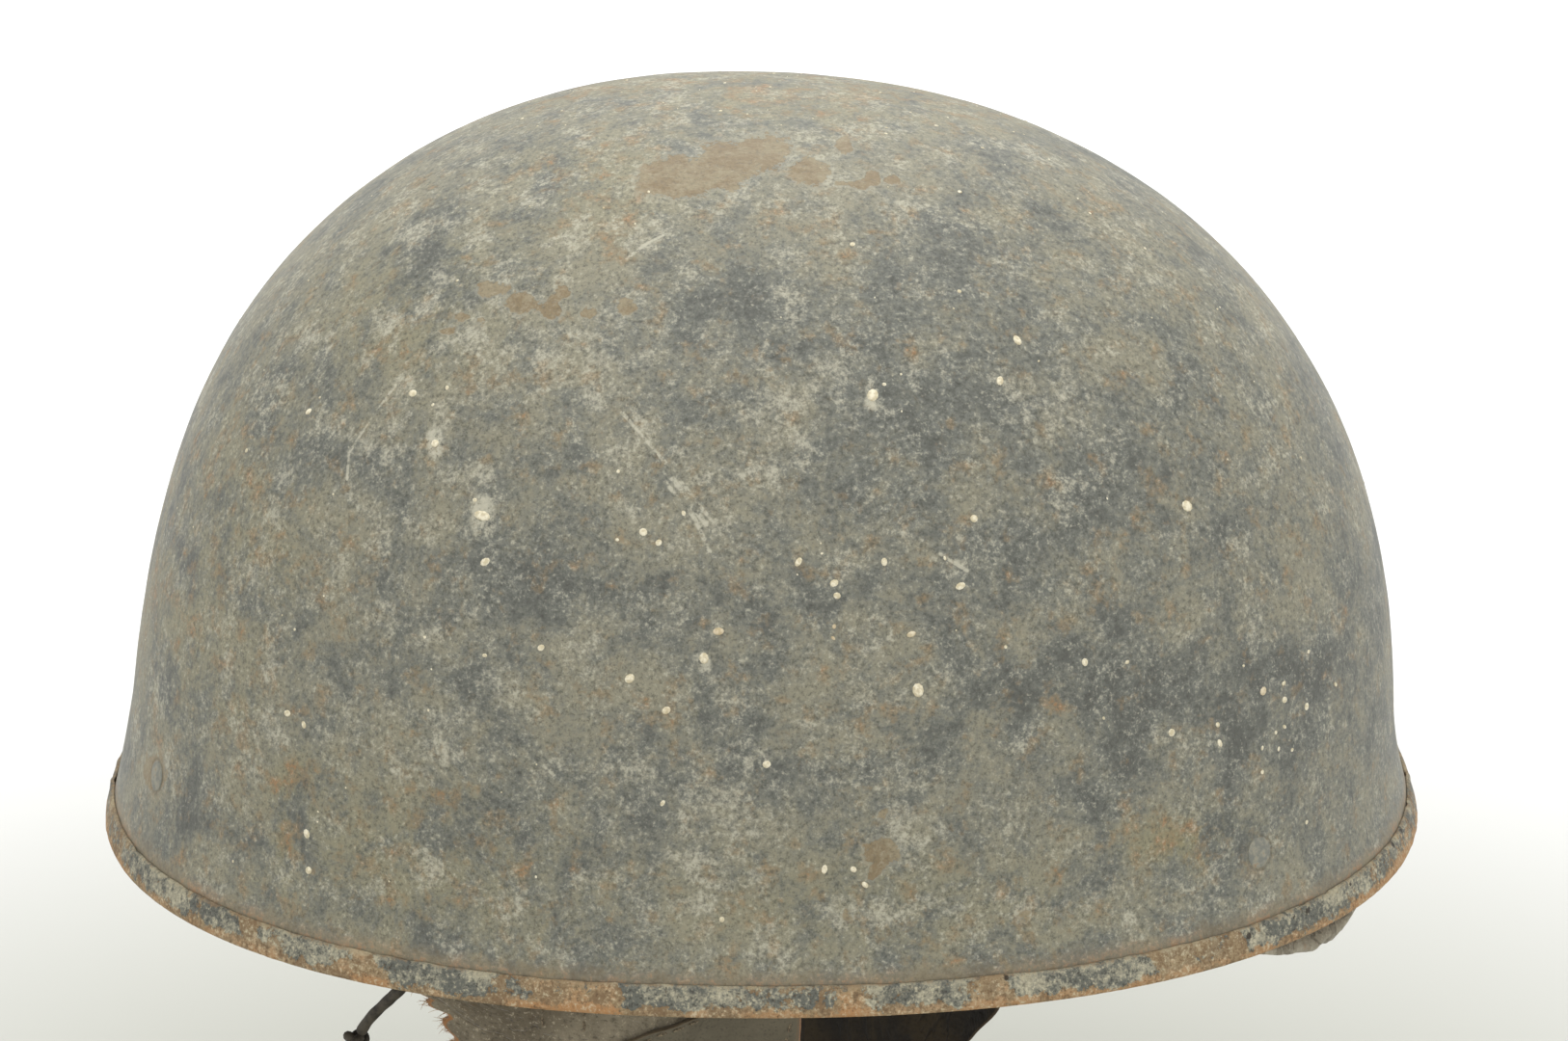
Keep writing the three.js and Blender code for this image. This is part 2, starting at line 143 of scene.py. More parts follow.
def skinAt(degrees, height, inset):  # on the dome's outer face, or inset millimetres inside it
    degrees, height, inset = np.broadcast_arrays(degrees, height, np.asarray(inset, float))
    along = np.cos(np.radians(degrees))
    across = np.sin(np.radians(degrees))
    power = 2 / helmetSizes["planPower"]
    length = endReach(along < 0, height, inset)
    x = length * np.sign(along) * np.abs(along) ** power + leanAt(height, inset)
    y = reachAt("side", height, inset) * np.sign(across) * np.abs(across) ** power
    return np.stack([x, y, height], axis=-1)


def halfWidthAt(x, height, inset):
    share = np.minimum(np.abs(x) / endReach(x < 0, height, inset), 1.0)
    power = helmetSizes["planPower"]
    return reachAt("side", height, inset) * (1.0 - share ** power) ** (1 / power)


def toMetres(points):
    return (np.asarray(points, float) + originShift) * metresPerMm


def plain(values):
    return tuple(float(value) for value in values)


def unit(rows):
    return rows / np.linalg.norm(rows, axis=1)[:, None]


def waves(points, size, seed, count=26):  # smooth seeded noise, mostly between -1 and 1
    dice = np.random.default_rng(seed)
    ways = unit(dice.normal(size=(count, 3)))
    lengths = size * dice.uniform(0.6, 1.8, count)
    starts = dice.uniform(0, fullTurn, count)
    turns = np.asarray(points) @ (ways * (fullTurn / lengths)[:, None]).T + starts
    return np.sin(turns).sum(axis=-1) / math.sqrt(count)


def uneven(points, fields):  # fields: length of the waves, seed and height of each
    return sum(waves(points, size, seed) * tall for size, seed, tall in fields)


def softStep(value, low, high):
    share = np.clip((value - low) / (high - low), 0.0, 1.0)
    return share * share * (3 - 2 * share)


# small helpers for meshes
def newPiece(name, points, faces, finish=None):
    mesh = bpy.data.meshes.new(name)
    mesh.from_pydata([tuple(point) for point in points], [], faces)
    mesh.validate()
    if finish:
        mesh.materials.append(finish)
    mesh.shade_smooth()
    return linked(name, mesh)


def pointMesh(name, points):
    mesh = bpy.data.meshes.new(name)
    mesh.from_pydata([tuple(point) for point in points], [], [])
    return mesh


def hand(piece, slot, *nodes):
    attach(piece, "root")
    if nodes:
        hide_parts(*nodes)
    print("made", piece.name, len(piece.data.polygons), "faces")


def keepAttribute(mesh, name, values, kind="FLOAT"):
    layer = mesh.attributes.new(name, kind, "POINT")
    field = "vector" if kind == "FLOAT_VECTOR" else "value"
    layer.data.foreach_set(field, np.asarray(values, dtype=np.float32).ravel())


def threes(rows, field):  # a mesh's points or normals as an array
    flat = np.empty(len(rows) * 3)
    rows.foreach_get(field, flat)
    return flat.reshape(-1, 3)


def ringFaces(rings, count, closed):
    faces = []
    last = rings if closed else rings - 1
    for ring in range(last):
        here = ring * count
        there = ((ring + 1) % rings) * count
        for step in range(count):
            side = (step + 1) % count
            faces.append((here + step, here + side, there + side, there + step))
    return faces


def capFaces(rings, count):  # one face at each end of the rings
    last = (rings - 1) * count
    return [tuple(range(count))[::-1], tuple(last + i for i in range(count))]


def faceOutwards(piece):
    tool = bmesh.new()
    tool.from_mesh(piece.data)
    bmesh.ops.remove_doubles(tool, verts=tool.verts, dist=1e-6)
    bmesh.ops.recalc_face_normals(tool, faces=tool.faces)
    tool.to_mesh(piece.data)
    tool.free()


def surfaceTree(mesh):
    tool = bmesh.new()
    tool.from_mesh(mesh)
    tree = BVHTree.FromBMesh(tool)
    tool.free()
    return tree


class Wire:  # one output of a node; arithmetic on it adds Math nodes to its tree
    def __init__(self, bench, socket):
        self.bench = bench
        self.socket = socket

    def __add__(self, other):
        return self.bench.math("ADD", self, other)

    def __radd__(self, other):
        return self.bench.math("ADD", other, self)

    def __sub__(self, other):
        return self.bench.math("SUBTRACT", self, other)

    def __rsub__(self, other):
        return self.bench.math("SUBTRACT", other, self)

    def __mul__(self, other):
        return self.bench.math("MULTIPLY", self, other)

    def __rmul__(self, other):
        return self.bench.math("MULTIPLY", other, self)

    def __truediv__(self, other):
        return self.bench.math("DIVIDE", self, other)

    def __rtruediv__(self, other):
        return self.bench.math("DIVIDE", other, self)

    def __pow__(self, other):
        return self.bench.math("POWER", self, other)

    def __abs__(self):
        return self.bench.math("ABSOLUTE", self)


class Bench:  # adds nodes to one tree
    def __init__(self, tree):
        self.tree = tree

    def node(self, kind, settings=None, values=None, output=0):
        made = self.tree.nodes.new(kind)
        for name, value in (settings or {}).items():
            setattr(made, name, value)
        for name, value in (values or {}).items():
            self.feed(made.inputs[name], value)
        return Wire(self, made.outputs[output]) if made.outputs else None

    def feed(self, socket, value):
        if isinstance(value, Wire):
            self.tree.links.new(value.socket, socket)
        elif socket.type == "RGBA":
            socket.default_value = (*value, 1.0)
        else:
            socket.default_value = value

    def math(self, operation, *values):
        return self.node("ShaderNodeMath", {"operation": operation}, dict(enumerate(values)))

    def vector(self, operation, *values, output=0):
        kind = "ShaderNodeVectorMath"
        return self.node(kind, {"operation": operation}, dict(enumerate(values)), output)

    def scaled(self, vector, factor):
        return self.node("ShaderNodeVectorMath", {"operation": "SCALE"}, {0: vector, 3: factor})

    def length(self, vector):
        return self.vector("LENGTH", vector, output=1)

    def awayFrom(self, place, spot):
        return self.length(self.vector("SUBTRACT", place, plain(spot)))

    def mask(self, value, low, high):
        settings = {"interpolation_type": "SMOOTHSTEP"}
        return self.node("ShaderNodeMapRange", settings, {"Value": value, 1: low, 2: high, 3: 0.0, 4: 1.0})

    def blend(self, share, under, over):
        return self.node("ShaderNodeMix", {"data_type": "RGBA"}, {0: share, 6: under, 7: over}, 2)

    def tint(self, under, over, value, low, high, share=1.0):
        # lays one colour over another where the value passes from low to high
        mask = self.mask(value, low, high)
        return self.blend(mask if share == 1.0 else mask * share, under, over)

    def noise(self, place, size, detail=3.0, rough=0.55, twist=0.0):
        values = {"Vector": place, "Scale": 1.0 / size, "Detail": detail, "Roughness": rough}
        return self.node("ShaderNodeTexNoise", None, {**values, "Distortion": twist})

    def cells(self, place, size, feature="F1"):
        values = {"Vector": place, "Scale": 1.0 / size}
        return self.node("ShaderNodeTexVoronoi", {"feature": feature}, values)

    def painted(self, name):
        return self.node("ShaderNodeAttribute", {"attribute_name": name}, None, 2)

    def kept(self, name):
        return self.node("GeometryNodeInputNamedAttribute", {"data_type": "FLOAT_VECTOR"}, {0: name})

    def xyz(self, vector):
        split = self.tree.nodes.new("ShaderNodeSeparateXYZ")
        self.feed(split.inputs[0], vector)
        return [Wire(self, split.outputs[i]) for i in range(3)]


def tone(red, green, blue):  # a screen colour, 0 to 255, as the linear one that shaders use
    return tuple(((value / 255 + 0.055) / 1.055) ** 2.4 for value in (red, green, blue))


def startFinish(name):  # the third value is the place on the piece, in millimetres
    finish = bpy.data.materials.new(name)
    finish.use_nodes = True
    finish.node_tree.nodes.clear()
    bench = Bench(finish.node_tree)
    where = bench.node("ShaderNodeTexCoord", None, None, 3)
    return finish, bench, bench.scaled(where, mmPerMetre)


def endFinish(bench, colour, roughness, height, constants=None):  # height in millimetres
    bump = bench.node("ShaderNodeBump", None, {"Strength": 1.0, "Distance": metresPerMm, "Height": height})
    values = {"Base Color": colour, "Roughness": roughness, "Normal": bump}
    shader = bench.node("ShaderNodeBsdfPrincipled", None, {**values, **(constants or {})})
    bench.node("ShaderNodeOutputMaterial", None, {0: shader})


def startTree(name, sizes):
    tree = bpy.data.node_groups.new(name, "GeometryNodeTree")
    tree.interface.new_socket("Geometry", in_out="INPUT", socket_type="NodeSocketGeometry")
    for label, value in sizes.items():
        kind = "NodeSocketInt" if isinstance(value, int) else "NodeSocketFloat"
        tree.interface.new_socket(label, in_out="INPUT", socket_type=kind)
    tree.interface.new_socket("Geometry", in_out="OUTPUT", socket_type="NodeSocketGeometry")
    bench = Bench(tree)
    given = tree.nodes.new("NodeGroupInput")
    return tree, bench, {socket.name: Wire(bench, socket) for socket in given.outputs if socket.name}


def endTree(bench, shape, finish):
    solid = bench.node("GeometryNodeRealizeInstances", None, {0: shape})
    dressed = bench.node("GeometryNodeSetMaterial", None, {0: solid, 2: finish})
    bench.node("NodeGroupOutput", None, {0: dressed})


def runTree(name, mesh, tree, sizes):
    piece = linked(name, mesh)
    maker = piece.modifiers.new("maker", "NODES")
    maker.node_group = tree
    for socket in tree.interface.items_tree:
        if socket.in_out == "INPUT" and socket.name in sizes:
            maker[socket.identifier] = sizes[socket.name]
    return settle(piece)


def settle(piece):  # applies the modifiers and leaves a plain mesh
    graph = bpy.context.evaluated_depsgraph_get()
    graph.update()
    made = bpy.data.meshes.new_from_object(piece.evaluated_get(graph), depsgraph=graph)
    piece.modifiers.clear()
    old = piece.data
    piece.data = made
    bpy.data.meshes.remove(old)
    made.name = piece.name
    made.shade_smooth()
    return piece


# old paint on the dome
rivetSpots = {
    "frontLeft": {"angle": -155.0, "height": 22.5},
    "frontRight": {"angle": 155.0, "height": 22.5},
    "rearLeft": {"angle": -45.0, "height": 19.0},
    "rearRight": {"angle": 45.0, "height": 19.0},
}
paintLook = {
    "slate": tone(115, 117, 109),
    "olive": tone(144, 140, 120),
    "shadow": tone(88, 89, 83),
    "haze": tone(179, 175, 156),
    "speckDark": tone(68, 68, 60),
    "speckLight": tone(192, 188, 168),
    "bareSteel": tone(146, 134, 107),
    "bareDark": tone(132, 115, 86),
    "orange": tone(158, 116, 76),
    "ochre": tone(146, 124, 90),
    "moss": tone(140, 134, 98),
    "bandDust": tone(146, 139, 116),
    "broadSize": 17.0,  # millimetres, as all sizes and heights here
    "veilSize": 9.0,
    "middleSize": 5.0,
    "fineSize": 1.0,
    "blisterSize": 1.5,
    "veilShift": (310.0, 90.0, 40.0),
    "blisterHeight": 0.34,
    "grainHeight": 0.1,
    "swellHeight": 0.1,
    "paintThickness": 0.1,
    "ringRadius": 3.4,
    "ringDepth": 0.12,
    "dustLift": 0.07,
    "darkDrop": 0.09,
    "coolDrop": 0.05,
    "roughness": 0.64,
    "gloss": 0.35,
    "sheen": 0.08,
}
markKinds = ("bare", "dust", "dark", "warm", "bumpy")


def scratchMask(bench, place, start, end, width):
    way = Vector(end) - Vector(start)
    fromStart = bench.vector("SUBTRACT", place, start)
    share = bench.vector("DOT_PRODUCT", fromStart, tuple(way / way.length_squared), output=1)
    share = bench.math("MINIMUM", bench.math("MAXIMUM", share, 0.0), 1.0)
    off = bench.length(bench.vector("SUBTRACT", fromStart, bench.scaled(tuple(way), share)))
    return 1.0 - bench.mask(off, width * 0.4, width)


def oldPaint(scratches):
    look = paintLook
    finish, bench, place = startFinish("oldPaint")
    tint = bench.tint
    bare, dust, dark, warm, bumpy = [bench.painted(kind) for kind in markKinds]
    broad = bench.noise(place, look["broadSize"], 6.0, 0.84, 0.2)
    veil = bench.noise(bench.vector("ADD", place, look["veilShift"]), look["veilSize"], 5.0, 0.84)
    middle = bench.noise(place, look["middleSize"], 3.0, 0.72)
    fine = bench.noise(place, look["fineSize"], 2.0, 0.85)
    grain = fine - 0.5
    swell = middle - 0.5
    drift = veil - 0.5
    marked = dust * look["dustLift"] - dark * look["darkDrop"]
    # clean slate and dusty olive, mixed down to the grain, under a pale haze
    cloud = broad + marked
    colour = tint(look["slate"], look["olive"], cloud - bumpy * look["coolDrop"], 0.38, 0.62)
    colour = tint(colour, look["shadow"], cloud + drift * 0.5, 0.47, 0.28, 0.85)
    colour = tint(colour, look["moss"], cloud, 0.36, 0.56, warm * 0.75)
    haze = bench.mask(veil + marked, 0.52, 0.68)
    colour = bench.blend(haze * 0.7, colour, look["haze"])
    # soft ochre stains and small orange spots
    stain = middle + (broad - 0.5) * 0.5 + warm * 0.16
    colour = tint(colour, look["ochre"], stain, 0.55, 0.7, 0.5)
    colour = tint(colour, look["orange"], stain + grain * 0.4, 0.7, 0.8, 0.6)
    # grains and blisters; each blister has a painted highlight on its top and a ring of painted shade round
    # it
    blister = bench.cells(place, look["blisterSize"])
    pimpled = bench.mask(middle, 0.38, 0.6) * 0.4 + bumpy * 0.7
    colour = tint(colour, look["haze"], blister, 0.3, 0.12, pimpled * 0.3)
    colour = tint(colour, look["speckDark"], blister, 0.42, 0.62, pimpled * 0.25)
    colour = tint(colour, look["speckDark"], fine, 0.53, 0.27, 0.62)
    colour = tint(colour, look["speckLight"], fine + drift * 0.6, 0.53, 0.77, 0.6)
    # patches worn through to brown steel
    edge = bare + swell * 0.75 + grain * 0.4
    worn = bench.mask(edge, 0.48, 0.53)
    rust = tint(look["bareDark"], look["bareSteel"], veil, 0.42, 0.58)
    rust = tint(rust, look["speckDark"], fine, 0.5, 0.3, 0.3)
    rust = tint(rust, look["haze"], fine, 0.54, 0.74, 0.3)
    colour = tint(colour, look["haze"], edge, 0.3, 0.46, 0.25)
    colour = bench.blend(worn * 0.9, colour, rust)
    # scuffs and scratches through the dust
    lines = 0.0
    for scratch in scratches:
        lines = bench.math("MAXIMUM", lines, scratchMask(bench, place, *scratch))
    colour = tint(colour, look["speckLight"], veil + grain * 0.4, 0.4, 0.58, lines * 0.75)
    # a darker ring over the shallow groove round each rivet, with a rusty side
    ring = 0.0
    rusty = 0.0
    for spot in rivetSpots.values():
        centre = toMetres(skinAt(spot["angle"], spot["height"], 0.0)) / metresPerMm
        off = abs(bench.awayFrom(place, centre) - look["ringRadius"])
        ring = bench.math("MAXIMUM", ring, 1.0 - bench.mask(off, 0.1, 0.5))
        beside = centre + np.array([-2.6 if spot["angle"] > -90 else 0.8, 0.0, -1.8])
        off = bench.awayFrom(place, beside) + swell * 8.0
        rusty = bench.math("MAXIMUM", rusty, 1.0 - bench.mask(off, 2.4, 5.5))
    colour = tint(colour, look["ochre"], veil, 0.42, 0.56, rusty * 0.4)
    colour = tint(colour, look["speckDark"], veil, 0.4, 0.56, ring * 0.3)
    # dirt and rust gathered where the rim band meets the dome
    level = bench.xyz(place)[2] - float(originShift[2])
    seam = 1.0 - bench.mask(level + swell * 6.0 + drift * 6.0 + grain * 2.5, 6.0, 9.6)
    seamDirt = tint(look["bareDark"], look["bandDust"], veil, 0.4, 0.6)
    colour = bench.blend(seam * 0.5, colour, seamDirt)
    colour = tint(colour, look["orange"], veil + grain * 0.4, 0.46, 0.62, seam * 0.7)
    height = (0.5 - blister) * look["blisterHeight"] * pimpled
    height = height + grain * look["grainHeight"] + swell * look["swellHeight"]
    height = height - worn * look["paintThickness"] - ring * look["ringDepth"]
    roughness = look["roughness"] + grain * 0.3 + haze * 0.1
    endFinish(bench, colour, roughness, height, {
        "Specular IOR Level": look["gloss"], "Sheen Weight": look["sheen"], "Sheen Roughness": 0.5,
    })
    return finish


innerLook = {
    "paint": tone(84, 84, 74),
    "pale": tone(112, 109, 94),
    "rust": tone(120, 84, 54),
    "dark": tone(62, 60, 52),
    "broadSize": 30.0,
    "fineSize": 1.6,
    "roughness": 0.72,
    "gloss": 0.3,
}


def innerPaint():
    look = innerLook
    finish, bench, place = startFinish("innerPaint")
    broad = bench.noise(place, look["broadSize"], 5.0, 0.65)
    fine = bench.noise(place, look["fineSize"], 3.0, 0.6)
    grain = fine - 0.5
    colour = bench.tint(look["paint"], look["pale"], broad, 0.4, 0.62)
    colour = bench.tint(colour, look["rust"], broad + grain * 0.4, 0.62, 0.7, 0.8)
    colour = bench.tint(colour, look["dark"], fine, 0.5, 0.7, 0.4)
    height = grain * 0.1 + (bench.noise(place, 0.6, 2.0) - 0.5) * 0.06
    endFinish(bench, colour, look["roughness"] + grain * 0.2, height, {"Specular IOR Level": look["gloss"]})
    return finish


# lace and its knot: the cord comes first
laceSizes = {
    "diameter": 2.4,
    "knot": 5.6,
    "knotCord": 0.95,  # radius of the tied end, drawn tight
    "sides": 14,
    "inset": 5.7,      # the flap's inner face at the headband, from the dome's outer face
    "drift": 24.0,
    "flapLength": 92.0,
    "waves": [(5.0, 4, 0.06)],
    "narrow": 0.08,    # share by which it is thinner past the next part of its length
    "narrowAt": (0.66, 0.72),
    "steps": 6,
    # dark leather, with these tones made darker still as painted shade for the shadow the thong hangs in
    # under the rim
    "dark": tone(48, 44, 37),
    "light": tone(76, 70, 59),
    "worn": tone(104, 96, 80),
}
laceRoute = [  # distance ahead of the helmet's middle, fall below the rim, and gap to the flap
    (54, -14, 0.4), (55.6, -12, 0.4), (57.2, -10, 0.4), (58.9, -8, 0.4), (60.6, -6, 0.4), (62.3, -4, 0.4),
    (64, -2, 0.4), (65.6, 0, 0.45), (67.2, 2, 0.5), (68.9, 4.1, 0.6), (70.7, 6.3, 0.7), (72.5, 8.6, 0.8),
    (74.2, 10.8, 0.9), (75.9, 13.1, 1), (77.4, 15.5, 1.1), (78.7, 18, 1.2),
]
hangSizes = {"from": 19.0, "power": 1.4}  # height of the headband's middle, where the leather hangs from


def driftAt(height, length, drift):  # how far hanging leather leans inwards
    fall = np.maximum(0.0, hangSizes["from"] - height)
    return drift * (fall / (hangSizes["from"] + length)) ** hangSizes["power"]


def lacePoint(ahead, fall, gap):
    inset = laceSizes["inset"] + driftAt(-fall, laceSizes["flapLength"], laceSizes["drift"])
    inset = inset + gap + laceSizes["diameter"] / 2
    return np.array([-ahead, -halfWidthAt(-ahead, -fall, inset), -fall])


def smoothPath(points, perStep):  # a smooth curve through the points
    points = np.asarray(points, float)
    ends = np.vstack([2 * points[0] - points[1], points, 2 * points[-1] - points[-2]])
    made = []
    for i in range(len(points) - 1):
        a, b, c, d = ends[i:i + 4]
        for step in range(perStep):
            t = step / perStep
            curve = 2 * b + (c - a) * t + (2 * a - 5 * b + 4 * c - d) * t ** 2
            made.append((curve + (3 * b - a - 3 * c + d) * t ** 3) / 2)
    made.append(points[-1])
    return np.array(made)


def tubeMesh(name, path, radii, sides, finish, closed=False):
    path = np.asarray(path)
    ways = np.roll(path, -1, axis=0) - np.roll(path, 1, axis=0)
    if not closed:
        ways[0] = path[1] - path[0]
        ways[-1] = path[-1] - path[-2]
    ways = unit(ways)
    side = np.cross(ways[0], (0.31, 0.9, 0.2))
    turns = np.linspace(0, fullTurn, sides, endpoint=False)
    points = []
    for spot, way, radius in zip(path, ways, radii):
        side = side - way * (side @ way)
        side /= np.linalg.norm(side)
        other = np.cross(way, side)
        for turn in turns:
            points.append(spot + radius * (math.cos(turn) * side + math.sin(turn) * other))
    faces = ringFaces(len(path), sides, closed)
    if not closed:
        faces += capFaces(len(path), sides)
    piece = newPiece(name, toMetres(points), faces, finish)
    faceOutwards(piece)
    return piece


def laceLeather():
    finish, bench, place = startFinish("laceLeather")
    fine = bench.noise(place, 0.5, 3.0, 0.6)
    wear = bench.noise(place, 3.0, 4.0, 0.6)
    grain = fine - 0.5
    colour = bench.tint(laceSizes["dark"], laceSizes["light"], wear, 0.4, 0.62)
    colour = bench.tint(colour, laceSizes["worn"], fine, 0.55, 0.75, 0.5)
    endFinish(bench, colour, 0.66 + grain * 0.2, grain * 0.12, {"Specular IOR Level": 0.3})
    return finish


laceFinish = laceLeather()
lacePoints = np.array([lacePoint(*row) for row in laceRoute])
lacePath = smoothPath(lacePoints, laceSizes["steps"])
laceShare = np.linspace(0, 1, len(lacePath))
laceNarrow = laceSizes["narrow"] * softStep(laceShare, *laceSizes["narrowAt"])
laceUneven = uneven(lacePath, laceSizes["waves"]) - laceNarrow
laceRadii = laceSizes["diameter"] / 2 * (1.0 + laceUneven)
lace = tubeMesh("tie_lace_thong", lacePath, laceRadii, laceSizes["sides"], laceFinish)

knotWay = lacePoints[-1] - lacePoints[-2]
knotWay /= np.linalg.norm(knotWay)
knotMiddle = lacePoints[-1] + knotWay * (laceSizes["knot"] / 2 + 0.3)
knotTurns = np.linspace(0, fullTurn, 72, endpoint=False)
knotPath = np.stack([  # a trefoil
    np.sin(knotTurns) + 2 * np.sin(2 * knotTurns),
    np.cos(knotTurns) - 2 * np.cos(2 * knotTurns),
    -1.1 * np.sin(3 * knotTurns),
], axis=-1) * (laceSizes["knot"] / 2 - laceSizes["knotCord"]) / 3.0
knotRadii = np.full(len(knotPath), laceSizes["knotCord"])
knot = tubeMesh("lace_knot_tied", knotPath + knotMiddle, knotRadii, 10, laceFinish, closed=True)
hand(lace, "lace_leather", "tie_lace")
hand(knot, "lace_leather", "lace_knot")
laceSizes["diameter"] * metresPerMm


# dome: pressed steel, made by its rule in Geometry Nodes
domeSizes = {
    "Rim Length": helmetSizes["rimLength"] - 2 * helmetSizes["bandFold"],
    "Rim Width": helmetSizes["rimWidth"] - 2 * helmetSizes["bandFold"],
    "Height": helmetSizes["height"],
    "Skirt": helmetSizes["skirt"],
    "Lean": helmetSizes["crownLean"],
    "Low Edge": 0.9,
    "Skirt Rows": 0.14,  # share of the rows; the rest climb to the pole
    "Columns": 352,
    "Rows": 116,
    "Dent Depth": 0.3,
    "Dent Size": 46.0,
    "Dimple Depth": 0.1,
    "Dimple Size": 11.0,
    "Flat Below": -143.0,  # no dents under the rim band, and all of them above the next height
    "Dented Above": -118.0,
    "Pole Merge": 0.00002,  # metres
}
dentFade = 2.2
patchFade = 0.9
handDents = [  # by pixel, with the radius and depth in millimetres
    (1085, 260, 26, 0.9), (560, 600, 20, 0.7), (900, 690, 16, 0.6), (1240, 715, 17, 0.7),
    (290, 450, 18, 0.5), (720, 330, 15, 0.5), (550, 180, 14, 0.5),
]


def domeTree(sizes):
    tree, bench, given = startTree("dome", sizes)
    grid = bench.node("GeometryNodeMeshGrid", None, {
        0: 1.0, 1: 1.0, 2: given["Columns"], 3: given["Rows"],
    })
    turn, rise, _ = bench.xyz(bench.node("GeometryNodeInputPosition"))
    angle = (turn + 0.5) * fullTurn
    rise = rise + 0.5
    along = bench.math("COSINE", angle)
    across = bench.math("SINE", angle)
    skirtShare = bench.math("MINIMUM", rise / given["Skirt Rows"], 1.0)
    domeShare = bench.math("MAXIMUM", (rise - given["Skirt Rows"]) / (1.0 - given["Skirt Rows"]), 0.0)
    climb = bench.math("SINE", domeShare * (math.pi / 2))
    skirtLevel = given["Low Edge"] + (given["Skirt"] - given["Low Edge"]) * skirtShare
    level = skirtLevel + (given["Height"] - given["Skirt"]) * climb
    ahead = bench.math("LESS_THAN", along, 0.0)

    def reachWire(rim, curve, other):
        def pick(name):
            return curve[name] + (other[name] - curve[name]) * ahead if other else curve[name]
        flareLeft = bench.math("MAXIMUM", 1.0 - level / (given["Height"] * pick("flareTop")), 0.0)
        fall = bench.math("MAXIMUM", 1.0 - bench.math("POWER", climb, pick("rise")), 0.0)
        body = (rim / 2.0 - pick("flare")) * bench.math("POWER", fall, 1.0 / pick("round"))
        return body + pick("flare") * bench.math("POWER", flareLeft, pick("flarePower"))

    length = reachWire(given["Rim Length"], sideCurves["rear"], sideCurves["front"])
    width = reachWire(given["Rim Width"], sideCurves["side"], None)
    power = 2 / helmetSizes["planPower"]
    x = length * bench.math("SIGN", along) * abs(along) ** power - given["Lean"] * climb
    y = width * bench.math("SIGN", across) * abs(across) ** power
    centred = bench.node("ShaderNodeCombineXYZ", None, {0: x, 1: y, 2: level})
    shifted = bench.scaled(bench.vector("ADD", centred, plain(originShift)), metresPerMm)
    skin = bench.node("GeometryNodeSetPosition", None, {0: grid, 2: shifted})
    skin = bench.node("GeometryNodeMergeByDistance", None, {0: skin, 2: given["Pole Merge"]})
    # shallow dents and dimples, fading out at the rim where the band sits
    place = bench.scaled(bench.node("GeometryNodeInputPosition"), mmPerMetre)
    free = bench.mask(bench.xyz(place)[2], given["Flat Below"], given["Dented Above"])
    dents = bench.noise(place, given["Dent Size"], 2.0)
    dimples = bench.noise(place, given["Dimple Size"], 3.0)
    press = (dents - 0.5) * 2.0 * given["Dent Depth"] * free
    press = press + (dimples - 0.5) * 2.0 * given["Dimple Depth"] * (0.25 + 0.75 * free)
    pushed = bench.scaled(bench.node("GeometryNodeInputNormal"), press * metresPerMm)
    skin = bench.node("GeometryNodeSetPosition", None, {0: skin, 3: pushed})
    endTree(bench, skin, None)
    return tree


